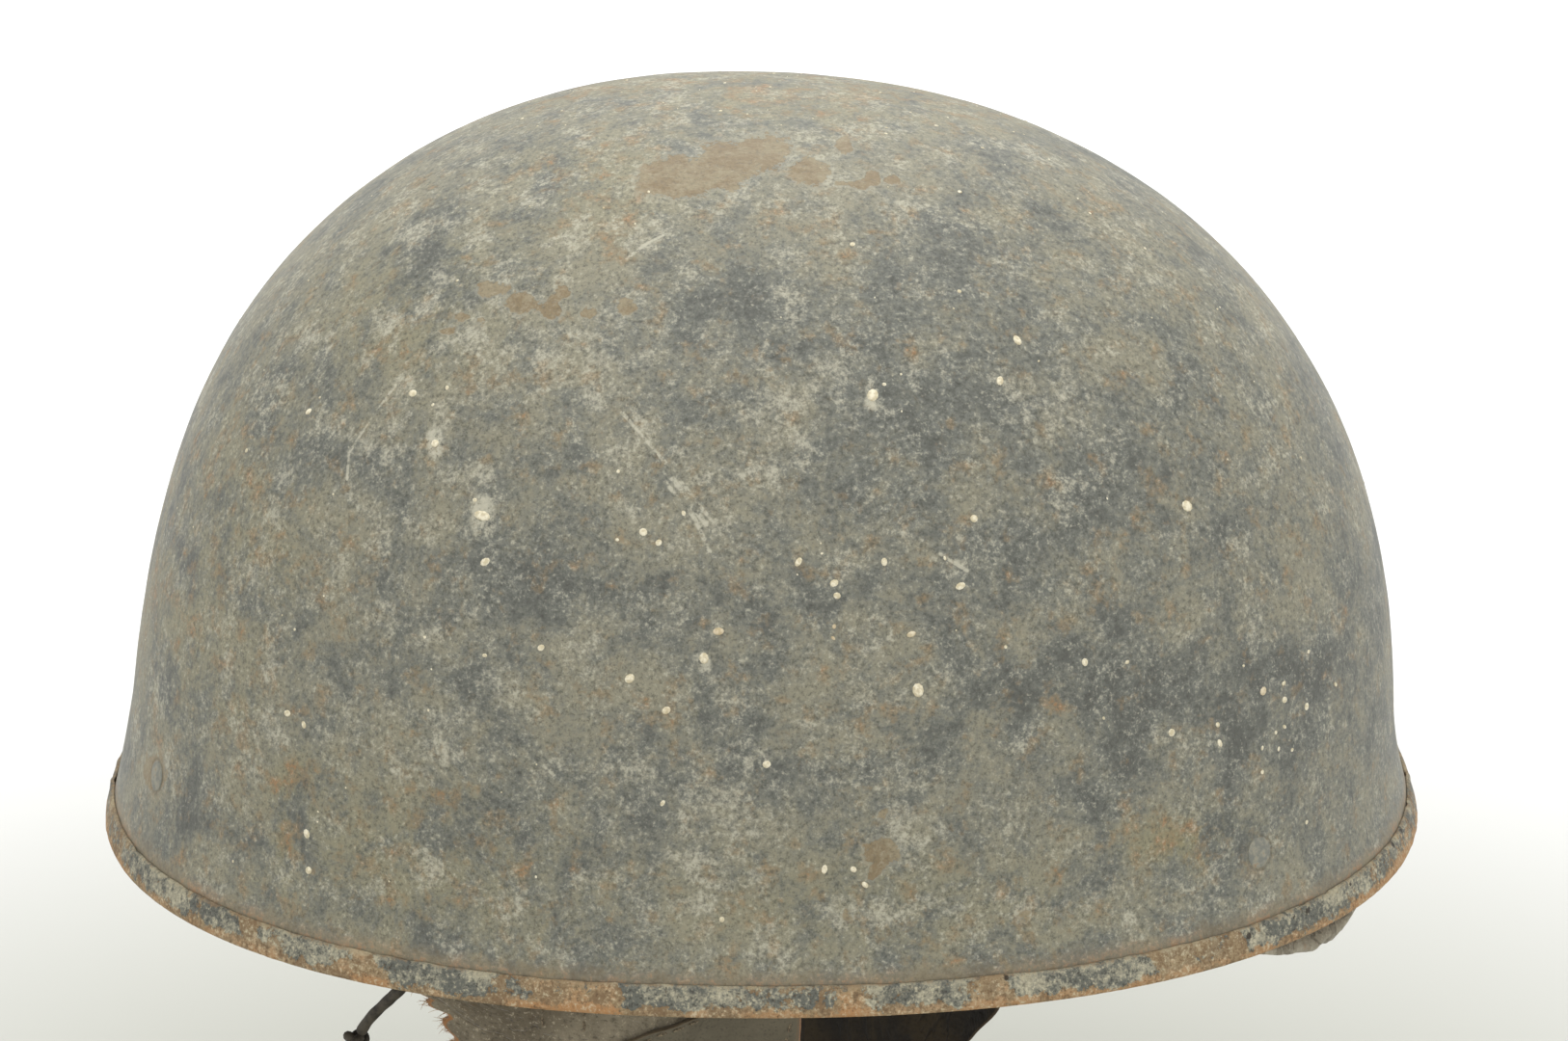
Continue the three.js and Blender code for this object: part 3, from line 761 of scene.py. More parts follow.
paintPatches = {  # by pixel: middle, half sizes, turn in degrees and strength
    "bare": [
        (708, 184, 46, 22, -6, 1), (752, 172, 40, 24, -14, 1), (790, 158, 30, 19, -10, 1),
        (843, 178, 20, 15, 10, 1), (875, 152, 9, 9, 0, 1), (905, 185, 8, 8, 0, 1), (505, 300, 14, 9, 20, 1),
        (540, 315, 20, 10, 10, 1), (570, 322, 12, 9, 0, 1), (915, 883, 18, 15, 0, 1), (914, 845, 7, 7, 0, 1),
        (880, 948, 7, 8, 0, 1), (160, 800, 12, 20, 0, 1), (480, 330, 9, 6, 0, 1), (463, 345, 8, 5, 0, 1),
        (497, 335, 8, 6, 0, 1), (525, 298, 8, 6, 0, 1), (583, 303, 9, 6, 0, 1), (892, 192, 10, 5, 0, 1),
        (925, 186, 9, 5, 0, 1), (873, 190, 8, 4, 0, 1), (610, 325, 9, 8, 0, 1), (650, 318, 10, 9, 0, 1),
        (1060, 950, 6, 8, 0, 1), (905, 905, 10, 8, 0, 1),
    ],
    "dust": [
        (480, 270, 40, 35, 0, 0.8), (600, 280, 55, 55, 0, 0.8), (630, 370, 45, 40, 0, 0.7),
        (910, 190, 55, 30, 0, 0.8), (820, 435, 50, 95, 0, 0.7), (1095, 420, 40, 70, 30, 0.9),
        (1035, 505, 45, 60, 35, 0.9), (955, 590, 60, 45, -30, 0.9), (725, 545, 38, 48, 0, 0.6),
        (1310, 620, 42, 75, 0, 0.7), (1235, 655, 25, 38, 0, 0.7), (1210, 865, 40, 22, 0, 0.8),
        (720, 950, 32, 26, 0, 0.7), (840, 925, 52, 50, 0, 0.6), (965, 835, 24, 32, 0, 0.7),
        (455, 910, 32, 18, 0, 0.7), (430, 330, 170, 120, -30, 0.45), (800, 190, 280, 70, 0, 0.45),
    ],
    "dark": [
        (550, 175, 60, 30, 0, 0.4), (285, 440, 65, 50, 0, 0.6), (570, 595, 85, 34, 0, 0.8),
        (730, 315, 60, 50, 0, 0.4), (910, 260, 30, 28, 0, 0.6), (1045, 265, 95, 72, 0, 0.5),
        (1110, 590, 72, 60, 0, 0.7), (915, 700, 58, 30, 0, 0.7), (1200, 725, 90, 36, 0, 1.5),
        (1325, 698, 85, 30, -5, 1.5), (900, 800, 28, 15, 0, 0.8), (820, 835, 28, 20, 0, 0.8),
        (1085, 830, 44, 26, 0, 0.8), (475, 865, 56, 30, 0, 0.7), (660, 760, 52, 26, 0, 0.6),
        (190, 855, 26, 30, 0, 0.7), (1075, 980, 88, 24, 0, 0.7), (1060, 590, 330, 130, 8, 0.75),
        (1200, 790, 230, 100, -10, 0.75),
    ],
    "warm": [
        (305, 810, 30, 30, 0, 0.7), (270, 580, 38, 28, 0, 0.6), (245, 735, 24, 22, 0, 0.6),
        (1230, 875, 62, 28, 0, 0.9), (296, 875, 7, 70, 0, 1), (430, 320, 110, 70, -30, 0.4),
        (640, 180, 110, 60, -15, 0.4), (210, 600, 90, 190, 10, 0.45), (420, 900, 230, 90, 15, 0.45),
        (820, 90, 330, 50, 0, 0.5), (900, 940, 260, 60, 0, 0.35),
    ],
    "bumpy": [(1010, 430, 260, 140, 10, 1), (430, 500, 150, 160, 0, 0.4)],
}
domeScratches = [  # by pixel, from and to, with the width in millimetres
    (410, 400, 362, 470, 0.5), (362, 470, 360, 497, 0.45), (975, 575, 1003, 592, 0.5),
    (650, 268, 672, 252, 0.5), (672, 252, 688, 244, 0.4), (645, 428, 690, 480, 0.5),
    (690, 500, 722, 540, 0.5), (698, 497, 732, 544, 0.7), (706, 500, 738, 540, 0.5),
    (712, 520, 736, 572, 0.6), (745, 648, 748, 668, 1.7), (727, 683, 732, 690, 1.8),
    (498, 525, 502, 545, 3.2), (450, 452, 452, 466, 2.4), (905, 395, 903, 420, 1.6),
]
farPatches = {
    "seed": 11,
    "count": 34,
    "kinds": ["bare", "dust", "dust", "dark", "dark", "warm"],
    "size": (0.006, 0.02),  # metres
    "stretch": (0.6, 1.5),
    "ragged": (13.0, 0.22),
    "bareStrength": 0.85,
    "strength": 0.8,
}

dome = runTree("shell_dome", bpy.data.meshes.new("dome"), domeTree(domeSizes), domeSizes)
domePoints = threes(dome.data.vertices, "co")
domeNormals = threes(dome.data.vertex_normals, "vector")
if (domeNormals * (domePoints - domePoints.mean(axis=0))).sum() < 0:
    dome.data.flip_normals()
domeNormals = threes(dome.data.vertex_normals, "vector")
domeSurface = surfaceTree(dome.data)


def onDome(across, down):  # where the line of sight through a pixel meets the dome
    return domeSurface.ray_cast(*pixelRay(across, down))[:2]


def fadeOut(kind, away, reach):  # worn patches have an edge, and the others fade out
    return np.clip(1.0 - away / reach, 0, 1) if kind == "bare" else np.exp(-away ** 2 * patchFade)


domeAcross, domeDown = toPixels(domePoints)
domeFacing = ((cameraSpot - domePoints) * domeNormals).sum(axis=1) > 0
marks = {kind: np.zeros(len(domePoints)) for kind in markKinds}
for kind, rows in paintPatches.items():
    for x, y, wide, high, turn, strength in rows:
        angle = math.radians(turn)
        right = domeAcross - x
        below = domeDown - y
        offX = (right * math.cos(angle) + below * math.sin(angle)) / wide
        offY = (below * math.cos(angle) - right * math.sin(angle)) / high
        mark = strength * fadeOut(kind, np.hypot(offX, offY), 2)
        marks[kind] = np.maximum(marks[kind], np.where(domeFacing, mark, 0.0))
dice = np.random.default_rng(farPatches["seed"])
for _ in range(farPatches["count"]):  # what the photo doesn't show has the same kinds of marks
    middle = domePoints[dice.integers(len(domePoints))]
    size = dice.uniform(*farPatches["size"])
    kind = dice.choice(farPatches["kinds"])
    stretch = dice.uniform(*farPatches["stretch"], 3)
    away = np.linalg.norm((domePoints - middle) * stretch, axis=1) / size
    length, tall = farPatches["ragged"]
    away = away + uneven(domePoints * mmPerMetre, [(length, int(dice.integers(999)), tall)])
    strength = farPatches["bareStrength" if kind == "bare" else "strength"]
    mark = strength * fadeOut(kind, away, 1)
    marks[kind] = np.maximum(marks[kind], np.where(domeFacing, 0.0, mark))
for kind, values in marks.items():
    keepAttribute(dome.data, kind, values)

moved = domePoints.copy()
for x, y, radius, depth in handDents:
    spot, _ = onDome(x, y)
    away = np.linalg.norm(domePoints - np.array(spot), axis=1) / (radius * metresPerMm)
    moved -= domeNormals * (depth * metresPerMm * np.exp(-away ** 2 * dentFade))[:, None]
dome.data.vertices.foreach_set("co", moved.ravel())
dome.data.update()
domeSurface = surfaceTree(dome.data)

scratchLines = []
for startX, startY, endX, endY, width in domeScratches:
    start, end = [tuple(onDome(*spot)[0] / metresPerMm) for spot in ((startX, startY), (endX, endY))]
    scratchLines.append((start, end, width))
dome.data.materials.clear()
dome.data.materials.append(oldPaint(scratchLines))
dome.data.materials.append(innerPaint())
wall = dome.modifiers.new("wall", "SOLIDIFY")
wall.thickness = helmetSizes["wall"] * metresPerMm
wall.offset = -1.0
wall.material_offset = 1
settle(dome)
hand(dome, "old_paint", "shell")


# paint specks and drops that stand on the old paint
speckSizes = {
    "small": 240,
    "lowest": -0.14,  # metres; none of the small ones sits lower
    "seed": 5,
    "low": 0.16,
    "sides": 9,
    "rings": 5,
    "spread": 1.1,
    "smallest": 0.35,
    "range": 0.7,
    "rarity": 2.5,    # the higher, the fewer large ones
    "long": (0.9, 1.35),
    "wide": (0.7, 1.05),
    "paint": tone(206, 194, 160),
    "pale": tone(238, 230, 204),
    "brown": tone(176, 146, 98),
}
bigSpecks = [  # by pixel, with the width in millimetres
    (500, 535, 2.4), (503, 583, 1.5), (667, 552, 1.4), (683, 563, 1.1), (828, 583, 1.5), (865, 605, 1.4),
    (917, 583, 1.4), (996, 608, 1.5), (945, 658, 1.4), (561, 672, 1.5), (653, 704, 1.5), (691, 737, 1.6),
    (1055, 353, 1.7), (1037, 395, 1.4), (1231, 525, 2.0), (1010, 538, 1.4), (428, 408, 1.5),
    (451, 460, 1.4), (1125, 687, 1.5), (1215, 760, 1.5), (1265, 771, 1.3), (1310, 717, 1.6),
    (1332, 726, 1.3), (1355, 733, 1.4), (952, 716, 2.2), (795, 793, 1.3), (855, 902, 1.4), (885, 902, 1.2),
    (897, 918, 1.2), (318, 865, 1.6), (320, 903, 1.5), (298, 740, 1.3), (315, 752, 1.2), (320, 427, 1.5),
    (745, 655, 1.8), (730, 683, 1.8), (905, 410, 2.2), (868, 618, 1.2), (1385, 710, 0.9), (1357, 676, 0.8),
    (1332, 754, 0.9), (1323, 760, 0.8), (1309, 776, 0.9), (1326, 777, 0.8), (1340, 778, 0.7),
    (1309, 801, 0.9), (1355, 853, 0.9), (865, 650, 0.8), (864, 662, 0.7), (640, 560, 0.8),
]


def speckPaint():
    look = speckSizes
    finish, bench, place = startFinish("speckPaint")
    fine = bench.noise(place, 0.8, 3.0, 0.6)
    colour = bench.tint(look["paint"], look["pale"], fine, 0.38, 0.62)
    colour = bench.tint(colour, look["brown"], bench.noise(place, 24.0, 2.0), 0.6, 0.7, 0.5)
    endFinish(bench, colour, 0.62 + (fine - 0.5) * 0.2, (fine - 0.5) * 0.05)
    return finish


def scatter(name, places, shapeKind, shapeValues, finish, bend=0.0):
    # places: points, facing, along and spread, each a row of three numbers for every copy
    mesh = pointMesh(name, places["points"])
    for key in ("facing", "along", "spread"):
        keepAttribute(mesh, key, places[key], "FLOAT_VECTOR")
    sizes = {"Bend": float(bend)}
    tree, bench, given = startTree(name, sizes)
    shape = bench.node(shapeKind, None, shapeValues)
    height = bench.xyz(bench.node("GeometryNodeInputPosition"))[2]
    lean = bench.node("ShaderNodeCombineXYZ", None, {0: given["Bend"] * height * height})
    shape = bench.node("GeometryNodeSetPosition", None, {0: shape, 3: lean})
    turned = bench.node("FunctionNodeAxesToRotation", {"primary_axis": "Z", "secondary_axis": "X"}, {
        0: bench.kept("facing"), 1: bench.kept("along"),
    })
    copies = bench.node("GeometryNodeInstanceOnPoints", None, {
        "Points": given["Geometry"], "Instance": shape, "Rotation": turned, "Scale": bench.kept("spread"),
    })
    endTree(bench, copies, finish)
    return runTree(name, mesh, tree, sizes)


def sideways(facing, dice):  # a seeded direction square to each normal
    ways = dice.normal(size=facing.shape)
    return unit(ways - facing * (ways * facing).sum(axis=1)[:, None])


dice = np.random.default_rng(speckSizes["seed"])
spots, faces, widths = [], [], []
for x, y, wide in bigSpecks:
    spot, normal = onDome(x, y)
    spots.append(tuple(spot))
    faces.append(tuple(normal))
    widths.append(wide * speckSizes["spread"])
for i in dice.choice(len(domePoints), speckSizes["small"], replace=False):
    if domePoints[i][2] > speckSizes["lowest"]:
        spots.append(tuple(Vector(moved[i])))
        faces.append(tuple(Vector(domeNormals[i])))
        share = dice.random() ** speckSizes["rarity"]
        widths.append(float(speckSizes["smallest"] + speckSizes["range"] * share))
facing = np.array(faces)
widths = np.array(widths)
speckPlaces = {
    "points": np.array(spots),
    "facing": facing,
    "along": sideways(facing, dice),
    "spread": np.stack([
        widths / 2 * dice.uniform(*speckSizes["long"], len(widths)),
        widths / 2 * dice.uniform(*speckSizes["wide"], len(widths)),
        np.full(len(widths), speckSizes["low"]) * (0.5 + widths / 3),
    ], axis=-1) * metresPerMm,
}
speckShape = {0: speckSizes["sides"], 1: speckSizes["rings"], 2: 1.0}
specks = scatter("paint_specks", speckPlaces, "GeometryNodeMeshUVSphere", speckShape, speckPaint())
hand(specks, "old_paint")


# rim band: folded strip, rusty where its paint has gone
bandLook = {
    "columns": 760,
    "height": 6.0,
    "paint": tone(97, 100, 93),
    "palePaint": tone(158, 157, 140),
    "dark": tone(58, 60, 54),
    "rust": tone(156, 137, 105),
    "orange": tone(174, 128, 82),
    "brown": tone(126, 103, 75),
    "dust": tone(168, 159, 131),
    "grit": tone(210, 201, 172),
    # a dark tone for fine grime, and for painted shade in the gaps under the folded edge
    "grimeAndGapShade": tone(52, 44, 34),
    "middleSize": 5.0,
    "paleSize": 7.0,
    "paleShift": (50.0, 20.0, 90.0),
    "fineSize": 0.9,
    "gloss": 0.35,
    "lift": [(26.0, 21, 0.12), (5.0, 22, 0.07)],    # waves of the upper edge, in millimetres
    "gap": [(7.0, 23, 1.0)],
    "gapOver": 0.9,
    "gapWidth": 0.35,
    "nick": [(6.0, 24, 1.0)],
    "nickOver": (1.5, 2.0),
    "nickDepth": 0.5,
    "upperEdge": (4.6, 5.9),                        # heights between which it all fades in
    "ripple": [(9.0, 25, 0.06), (3.0, 26, 0.04)],
    "paintLeft": [(42.0, 27, 0.32)],                # on the far side, where no mark says it
    "orangeLeft": [(30.0, 28, 0.3)],
    "ragged": [(5.0, 29, 8.0)],                     # pixels by which the marks' ends wander
    "markBlend": 5,                                 # pixels from a mark's end to its full strength
    "nearSide": 0.005,                              # metres
}
bandHoles = [  # by pixel, spots of painted shade where the folded edge stands off the dome; width in millimetres
    (1295, 971, 1.5), (1356, 945, 1.6), (1342, 951, 0.9), (660, 1011, 1.7), (672, 1012, 1.1),
    (1445, 877, 1.4), (1453, 862, 1.2), (1043, 1014, 1.0), (1400, 917, 1.0), (338, 972, 1.1),
    (820, 1019, 0.8), (465, 996, 0.9),
]
bandSection = [  # distance in from the dome's face, and height, both in millimetres
    (-0.05, 5.55), (-0.08, 5.95), (-0.3, 6.08), (-0.62, 6.03), (-0.85, 5.8), (-0.92, 5.3), (-0.92, 4.5),
    (-0.9, 3.6), (-0.9, 2.7), (-0.9, 1.8), (-0.88, 1.1), (-0.78, 0.6), (-0.55, 0.22), (-0.15, 0.04),
    (0.5, 0.0), (1.3, 0.04), (1.8, 0.22), (2.04, 0.6), (2.1, 1.4), (2.1, 3.0), (2.1, 4.4), (2.0, 4.9),
    (1.75, 5.0), (1.52, 4.8), (1.5, 2.6), (1.5, 0.6), (0.6, 0.6), (-0.3, 0.6), (-0.3, 3.0),
]
bandMarks = [  # by pixel along the near rim: from, to, how much paint is left, how orange the rust is
    (100, 138, 0.45, 0.5), (140, 200, 0.8, 0.2), (200, 214, 0.3, 0.4), (215, 242, 0.8, 0.2),
    (245, 278, 0.2, 0.3), (288, 346, 0.85, 0.1), (358, 400, 0.2, 0.6), (402, 500, 0.95, 0.1),
    (510, 535, 0.55, 0.3), (540, 578, 0.35, 0.7), (588, 636, 0.2, 0.8), (648, 762, 0.85, 0.15),
    (770, 868, 0.55, 0.4), (872, 890, 0.1, 0.8), (898, 1002, 0.85, 0.2), (1008, 1050, 0.25, 0.5),
    (1052, 1200, 0.75, 0.4), (1202, 1245, 0.1, 0.3), (1247, 1275, 0.6, 0.3), (1277, 1294, 0.1, 0.4),
    (1297, 1395, 0.8, 0.4), (1400, 1440, 0.6, 0.6), (1442, 1475, 0.55, 0.7),
]


def bandPaint(holes):
    look = bandLook
    finish, bench, place = startFinish("bandPaint")
    tint = bench.tint
    left = bench.painted("paintLeft")
    orange = bench.painted("orange")
    upper = bench.painted("upper")
    middle = bench.noise(place, look["middleSize"], 5.0, 0.78, 0.3)
    fine = bench.noise(place, look["fineSize"], 2.0, 0.8)
    pale = bench.noise(bench.vector("ADD", place, look["paleShift"]), look["paleSize"], 5.0, 0.8)
    grain = fine - 0.5
    swell = middle - 0.5
    lowEdge = 1.0 - bench.mask(upper + swell * 0.8, 0.16, 0.46)
    kept = (left - 0.47) * 0.8 + swell * 1.6 + grain * 0.4 - lowEdge * 0.5
    painted = bench.mask(kept, -0.02, 0.04)
    rust = tint(look["brown"], look["rust"], middle + grain * 0.6, 0.38, 0.62)
    hot = orange * 0.4 + (pale - 0.5) * 1.5 + grain * 0.5 + lowEdge * 0.2
    rust = tint(rust, look["orange"], hot, 0.22, 0.46, 0.9)
    coat = tint(look["paint"], look["palePaint"], pale, 0.45, 0.62)
    coat = tint(coat, look["dark"], fine, 0.52, 0.3, 0.7)
    colour = bench.blend(painted * 0.95, rust, coat)
    colour = tint(colour, look["dust"], pale - swell * 0.5 + grain * 0.5, 0.42, 0.66, 0.4)
    colour = tint(colour, look["grit"], fine + (pale - 0.5) * 0.4, 0.54, 0.72, 0.55)
    colour = tint(colour, look["grimeAndGapShade"], fine, 0.42, 0.24, 0.45)
    colour = tint(colour, look["dust"], upper + (pale - 0.5) * 0.8 + grain * 0.3, 0.9, 1.06, 0.5)
    colour = tint(colour, look["brown"], upper + swell * 0.6 + grain * 0.4, 0.97, 1.08, 0.7)
    # painted shade: each spot is darkened, for the gap under the folded edge
    for centre, wide in holes:
        off = bench.awayFrom(place, centre) + grain * 1.4
        hole = 1.0 - bench.mask(off, wide * 0.35, wide * 0.6)
        colour = bench.blend(hole * 0.9, colour, look["grimeAndGapShade"])
    height = painted * 0.1 + swell * 0.25 + grain * 0.14
    roughness = 0.74 - painted * 0.1 + grain * 0.2
    endFinish(bench, colour, roughness, height, {"Specular IOR Level": look["gloss"]})
    return finish


def makeBand():
    look = bandLook
    count = look["columns"]
    degrees = np.linspace(0, 360, count, endpoint=False)
    rimLine = skinAt(degrees, 3.0, -helmetSizes["bandFold"])
    lift = uneven(rimLine, look["lift"])
    gap = np.maximum(0.0, uneven(rimLine, look["gap"]) - look["gapOver"]) * look["gapWidth"]
    nick = softStep(uneven(rimLine, look["nick"]), *look["nickOver"]) * look["nickDepth"]
    rings = []
    for inset, height in bandSection:
        high = softStep(height, *look["upperEdge"]) if inset < 0 else 0.0
        level = height + high * (lift - nick)
        depth = inset - high * gap
        points = skinAt(degrees, level, depth)
        if inset < 0 and 0.1 < height < look["height"]:
            ripple = np.abs(uneven(points, look["ripple"]))
            points = skinAt(degrees, level, depth - ripple * (1 - high))
        rings.append(points)
    band = newPiece("rim_band_strip", toMetres(np.concatenate(rings)), ringFaces(len(rings), count, True))
    faceOutwards(band)
    surface = surfaceTree(band.data)
    holes = []
    for x, y, wide in bandHoles:
        spot = surface.ray_cast(*pixelRay(x, y))[0]
        if spot:
            holes.append((spot / metresPerMm, wide))
    band.data.materials.append(bandPaint(holes))
    made = threes(band.data.vertices, "co")
    across, _ = toPixels(made)
    near = made[:, 1] < look["nearSide"]
    left = 0.55 + uneven(made * mmPerMetre, look["paintLeft"])
    orange = 0.35 + uneven(made * mmPerMetre, look["orangeLeft"])
    blend = look["markBlend"]
    ends = [spot for start, end, _, _ in bandMarks for spot in (start + blend, end - blend)]
    ragged = across + uneven(made * mmPerMetre, look["ragged"])
    for column, values in ((2, left), (3, orange)):
        along = [mark[column] for mark in bandMarks for _ in range(2)]
        values[near] = np.interp(ragged[near], ends, along)
    keepAttribute(band.data, "paintLeft", left)
    keepAttribute(band.data, "orange", orange)
    height = made[:, 2] * mmPerMetre - originShift[2]
    keepAttribute(band.data, "upper", np.clip(height / look["height"], 0, 1))
    return band


hand(makeBand(), "rim_steel", "rim_band")


# four flush rivets from one turned form
rivetSizes = {
    "head": 3.1,
    "shank": 1.6,
    "tail": 3.8,
    "tailWall": 0.9,
    "grip": 3.7,
    "dome": 0.25,
    "sides": 40,
    "paint": tone(122, 123, 114),
    "pale": tone(150, 147, 130),
    "rust": tone(150, 112, 72),
}
rivetCrown = [(0.3, 0.97), (0.6, 0.8), (0.85, 0.5), (0.97, 0.2)]  # shares of the head and of its dome


def rivetPaint():
    look = rivetSizes
    finish, bench, place = startFinish("rivetPaint")
    middle = bench.noise(place, 1.8, 5.0, 0.65)
    grain = bench.noise(place, 0.6, 3.0, 0.6) - 0.5
    colour = bench.tint(look["paint"], look["pale"], middle, 0.4, 0.6)
    colour = bench.tint(colour, look["rust"], middle + grain * 0.4, 0.6, 0.7, 0.6)
    endFinish(bench, colour, 0.6 + grain * 0.2, grain * 0.1 + middle * 0.08, {"Metallic": 0.1})
    return finish


def rivetForm():
    head, shank, tail = rivetSizes["head"], rivetSizes["shank"], rivetSizes["tail"]
    dome, tailWall = rivetSizes["dome"], rivetSizes["tailWall"]
    under = -(rivetSizes["grip"] + 0.3)
    profile = [(head * out, dome * up) for out, up in rivetCrown] + [
        (head, -0.05), (head * 0.9, -0.25), (shank, -0.8), (shank, under),
        (tail * 0.96, under), (tail, under - 0.15), (tail, under - 0.6),
        (tail * 0.9, under - tailWall * 0.95), (tail * 0.5, under - tailWall),
    ]
    sides = rivetSizes["sides"]
    turns = np.linspace(0, fullTurn, sides, endpoint=False)
    points = [(0.0, 0.0, dome)]
    for radius, height in profile:
        points += [(radius * math.cos(turn), radius * math.sin(turn), height) for turn in turns]
    points.append((0.0, 0.0, under - tailWall))
    end = len(points) - 1
    last = end - sides
    faces = []
    for i in range(sides):
        j = (i + 1) % sides
        faces += [(0, 1 + i, 1 + j), (last + j, last + i, end)]
        for here in range(1, last, sides):
            faces.append((here + i, here + sides + i, here + sides + j, here + j))
    return newPiece("rivetForm", np.array(points) * metresPerMm, faces)


def makeRivets():
    form = rivetForm()
    step = 0.5
    spots, normals = [], []
    for spot in rivetSpots.values():
        angle, height = spot["angle"], spot["height"]
        around = skinAt(angle + step, height, 0.0) - skinAt(angle - step, height, 0.0)
        upward = skinAt(angle, height + step, 0.0) - skinAt(angle, height - step, 0.0)
        spots.append(toMetres(skinAt(angle, height, 0.0)))
        normals.append(np.cross(around, upward))
    mesh = pointMesh("rivetSpots", spots)
    keepAttribute(mesh, "facing", unit(np.array(normals)), "FLOAT_VECTOR")
    sizes = {"Scale": 1.0}
    tree, bench, given = startTree("rivets", sizes)
    shape = bench.node("GeometryNodeObjectInfo", None, {0: form}, 4)
    turned = bench.node("FunctionNodeAlignRotationToVector", {"axis": "Z"}, {2: bench.kept("facing")})
    copies = bench.node("GeometryNodeInstanceOnPoints", None, {
        "Points": given["Geometry"], "Instance": shape, "Rotation": turned, "Scale": given["Scale"],
    })
    endTree(bench, copies, rivetPaint())
    rivets = runTree("rivets_set", mesh, tree, sizes)
    bpy.data.objects.remove(form)
    faceOutwards(rivets)
    return rivets


rivetNodes = ("rivet_front_left", "rivet_front_right", "rivet_rear_left", "rivet_rear_right")
hand(makeRivets(), "rivet_steel", *rivetNodes)


# leather: sizes and heights in millimetres, and how strongly each mark shows
suedeLook = {
    "dark": tone(102, 93, 76), "light": tone(136, 127, 107), "deep": tone(52, 45, 36),
    "dust": tone(176, 165, 142), "stain": tone(96, 76, 52), "edge": tone(156, 108, 62),
    "dustShare": 0.65, "stainShare": 0.4, "creaseShadeShare": 0.1, "edgeShare": 0.85,
    "broadSize": 22.0, "grainSize": 1.7, "creaseSize": 26.0,
    "grainHeight": 0.3, "fibreHeight": 0.12, "creaseHeight": 0.15,
    "roughness": 0.88, "gloss": 0.15, "sheen": 0.25,
}
facingLook = {
    "dark": tone(84, 78, 63), "light": tone(104, 97, 80), "deep": tone(60, 54, 43),
    "dust": tone(128, 119, 100), "stain": tone(70, 58, 42), "edge": tone(112, 96, 72),
    "dustShare": 0.25, "stainShare": 0.3, "creaseShadeShare": 0.12, "edgeShare": 0.6,
    "broadSize": 26.0, "grainSize": 0.9, "creaseSize": 30.0,
    "grainHeight": 0.1, "fibreHeight": 0.04, "creaseHeight": 0.1,
    "roughness": 0.66, "gloss": 0.3, "sheen": 0.05,
}
# the far flap: dark brown leather whose tones are made darker still as painted shade for the shade under the
# rim, with upright lighter streaks as painted highlights on its folds
darkShadedLook = {
    "dark": tone(30, 24, 15), "light": tone(60, 49, 30), "deep": tone(19, 15, 10),
    "dust": tone(84, 72, 50), "stain": tone(66, 48, 32), "edge": tone(92, 74, 52),
    "dustShare": 0.2, "stainShare": 0.35, "creaseShadeShare": 0.5, "edgeShare": 0.6,
    "broadSize": 9.0, "grainSize": 1.1, "creaseSize": 22.0,
    "grainHeight": 0.09, "fibreHeight": 0.03, "creaseHeight": 0.12,
    "roughness": 0.46, "gloss": 0.32, "sheen": 0.0, "upright": 0.16,
}
bandLeatherLook = {
    "dark": tone(58, 46, 34), "light": tone(86, 70, 52), "deep": tone(34, 27, 20),
    "dust": tone(118, 102, 78), "stain": tone(48, 36, 26), "edge": tone(112, 88, 62),
    "dustShare": 0.3, "stainShare": 0.5, "creaseShadeShare": 0.5, "edgeShare": 0.7,
    "broadSize": 18.0, "grainSize": 1.2, "creaseSize": 16.0,
    "grainHeight": 0.14, "fibreHeight": 0.05, "creaseHeight": 0.18,
    "roughness": 0.6, "gloss": 0.3, "sheen": 0.0,
}
curtainLook = {
    "dark": tone(142, 135, 117), "light": tone(178, 171, 152), "deep": tone(104, 95, 78),
    "dust": tone(196, 188, 168), "stain": tone(142, 102, 62), "edge": tone(160, 120, 76),
    "dustShare": 0.5, "stainShare": 0.45, "creaseShadeShare": 0.5, "edgeShare": 0.5,
    "broadSize": 14.0, "grainSize": 1.3, "creaseSize": 12.0,
    "grainHeight": 0.22, "fibreHeight": 0.1, "creaseHeight": 0.25,
    "roughness": 0.85, "gloss": 0.15, "sheen": 0.15,
}


def leather(name, look):
    finish, bench, place = startFinish(name)
    tint = bench.tint
    stretched = bench.vector("MULTIPLY", place, (1.0, 1.0, look.get("upright", 1.0)))
    broad = bench.noise(stretched, look["broadSize"], 4.0, 0.6, 0.3)
    cell = bench.cells(place, look["grainSize"], "SMOOTH_F1")
    fine = bench.noise(place, look["grainSize"] * 0.6, 3.0, 0.6)
    fibre = bench.noise(place, 0.35, 2.0, 0.5) - 0.5
    grain = fine - 0.5
    colour = tint(look["dark"], look["light"], broad, 0.36, 0.64)
    colour = tint(colour, look["deep"], fine, 0.46, 0.3, 0.55)
    colour = tint(colour, look["dust"], fine + fibre * 0.5, 0.58, 0.74, look["dustShare"])
    stain = bench.mask(bench.noise(place, look["broadSize"] * 0.6, 5.0, 0.7), 0.58, 0.7)
    colour = bench.blend(stain * look["stainShare"], colour, look["stain"])
    # crease lines, pressed in by the bump and darkened in colour as painted shade
    crease = bench.noise(stretched, look["creaseSize"], 5.0, 0.6, 1.2)
    creaseLine = 1.0 - bench.mask(abs(crease - 0.5), 0.0, 0.03)
    colour = bench.blend(creaseLine * look["creaseShadeShare"], colour, look["deep"])
    colour = tint(colour, look["edge"], bench.painted("edge") + grain * 0.5, 0.4, 0.8, look["edgeShare"])
    height = (0.5 - cell) * look["grainHeight"] + grain * look["grainHeight"] * 0.8
    height = height + fibre * look["fibreHeight"] - creaseLine * look["creaseHeight"]
    roughness = look["roughness"] + grain * 0.24 + (broad - 0.5) * 0.2 + stain * 0.08
    endFinish(bench, colour, roughness, height, {
        "Specular IOR Level": look["gloss"], "Sheen Weight": look["sheen"], "Sheen Roughness": 0.5,
    })
    return finish


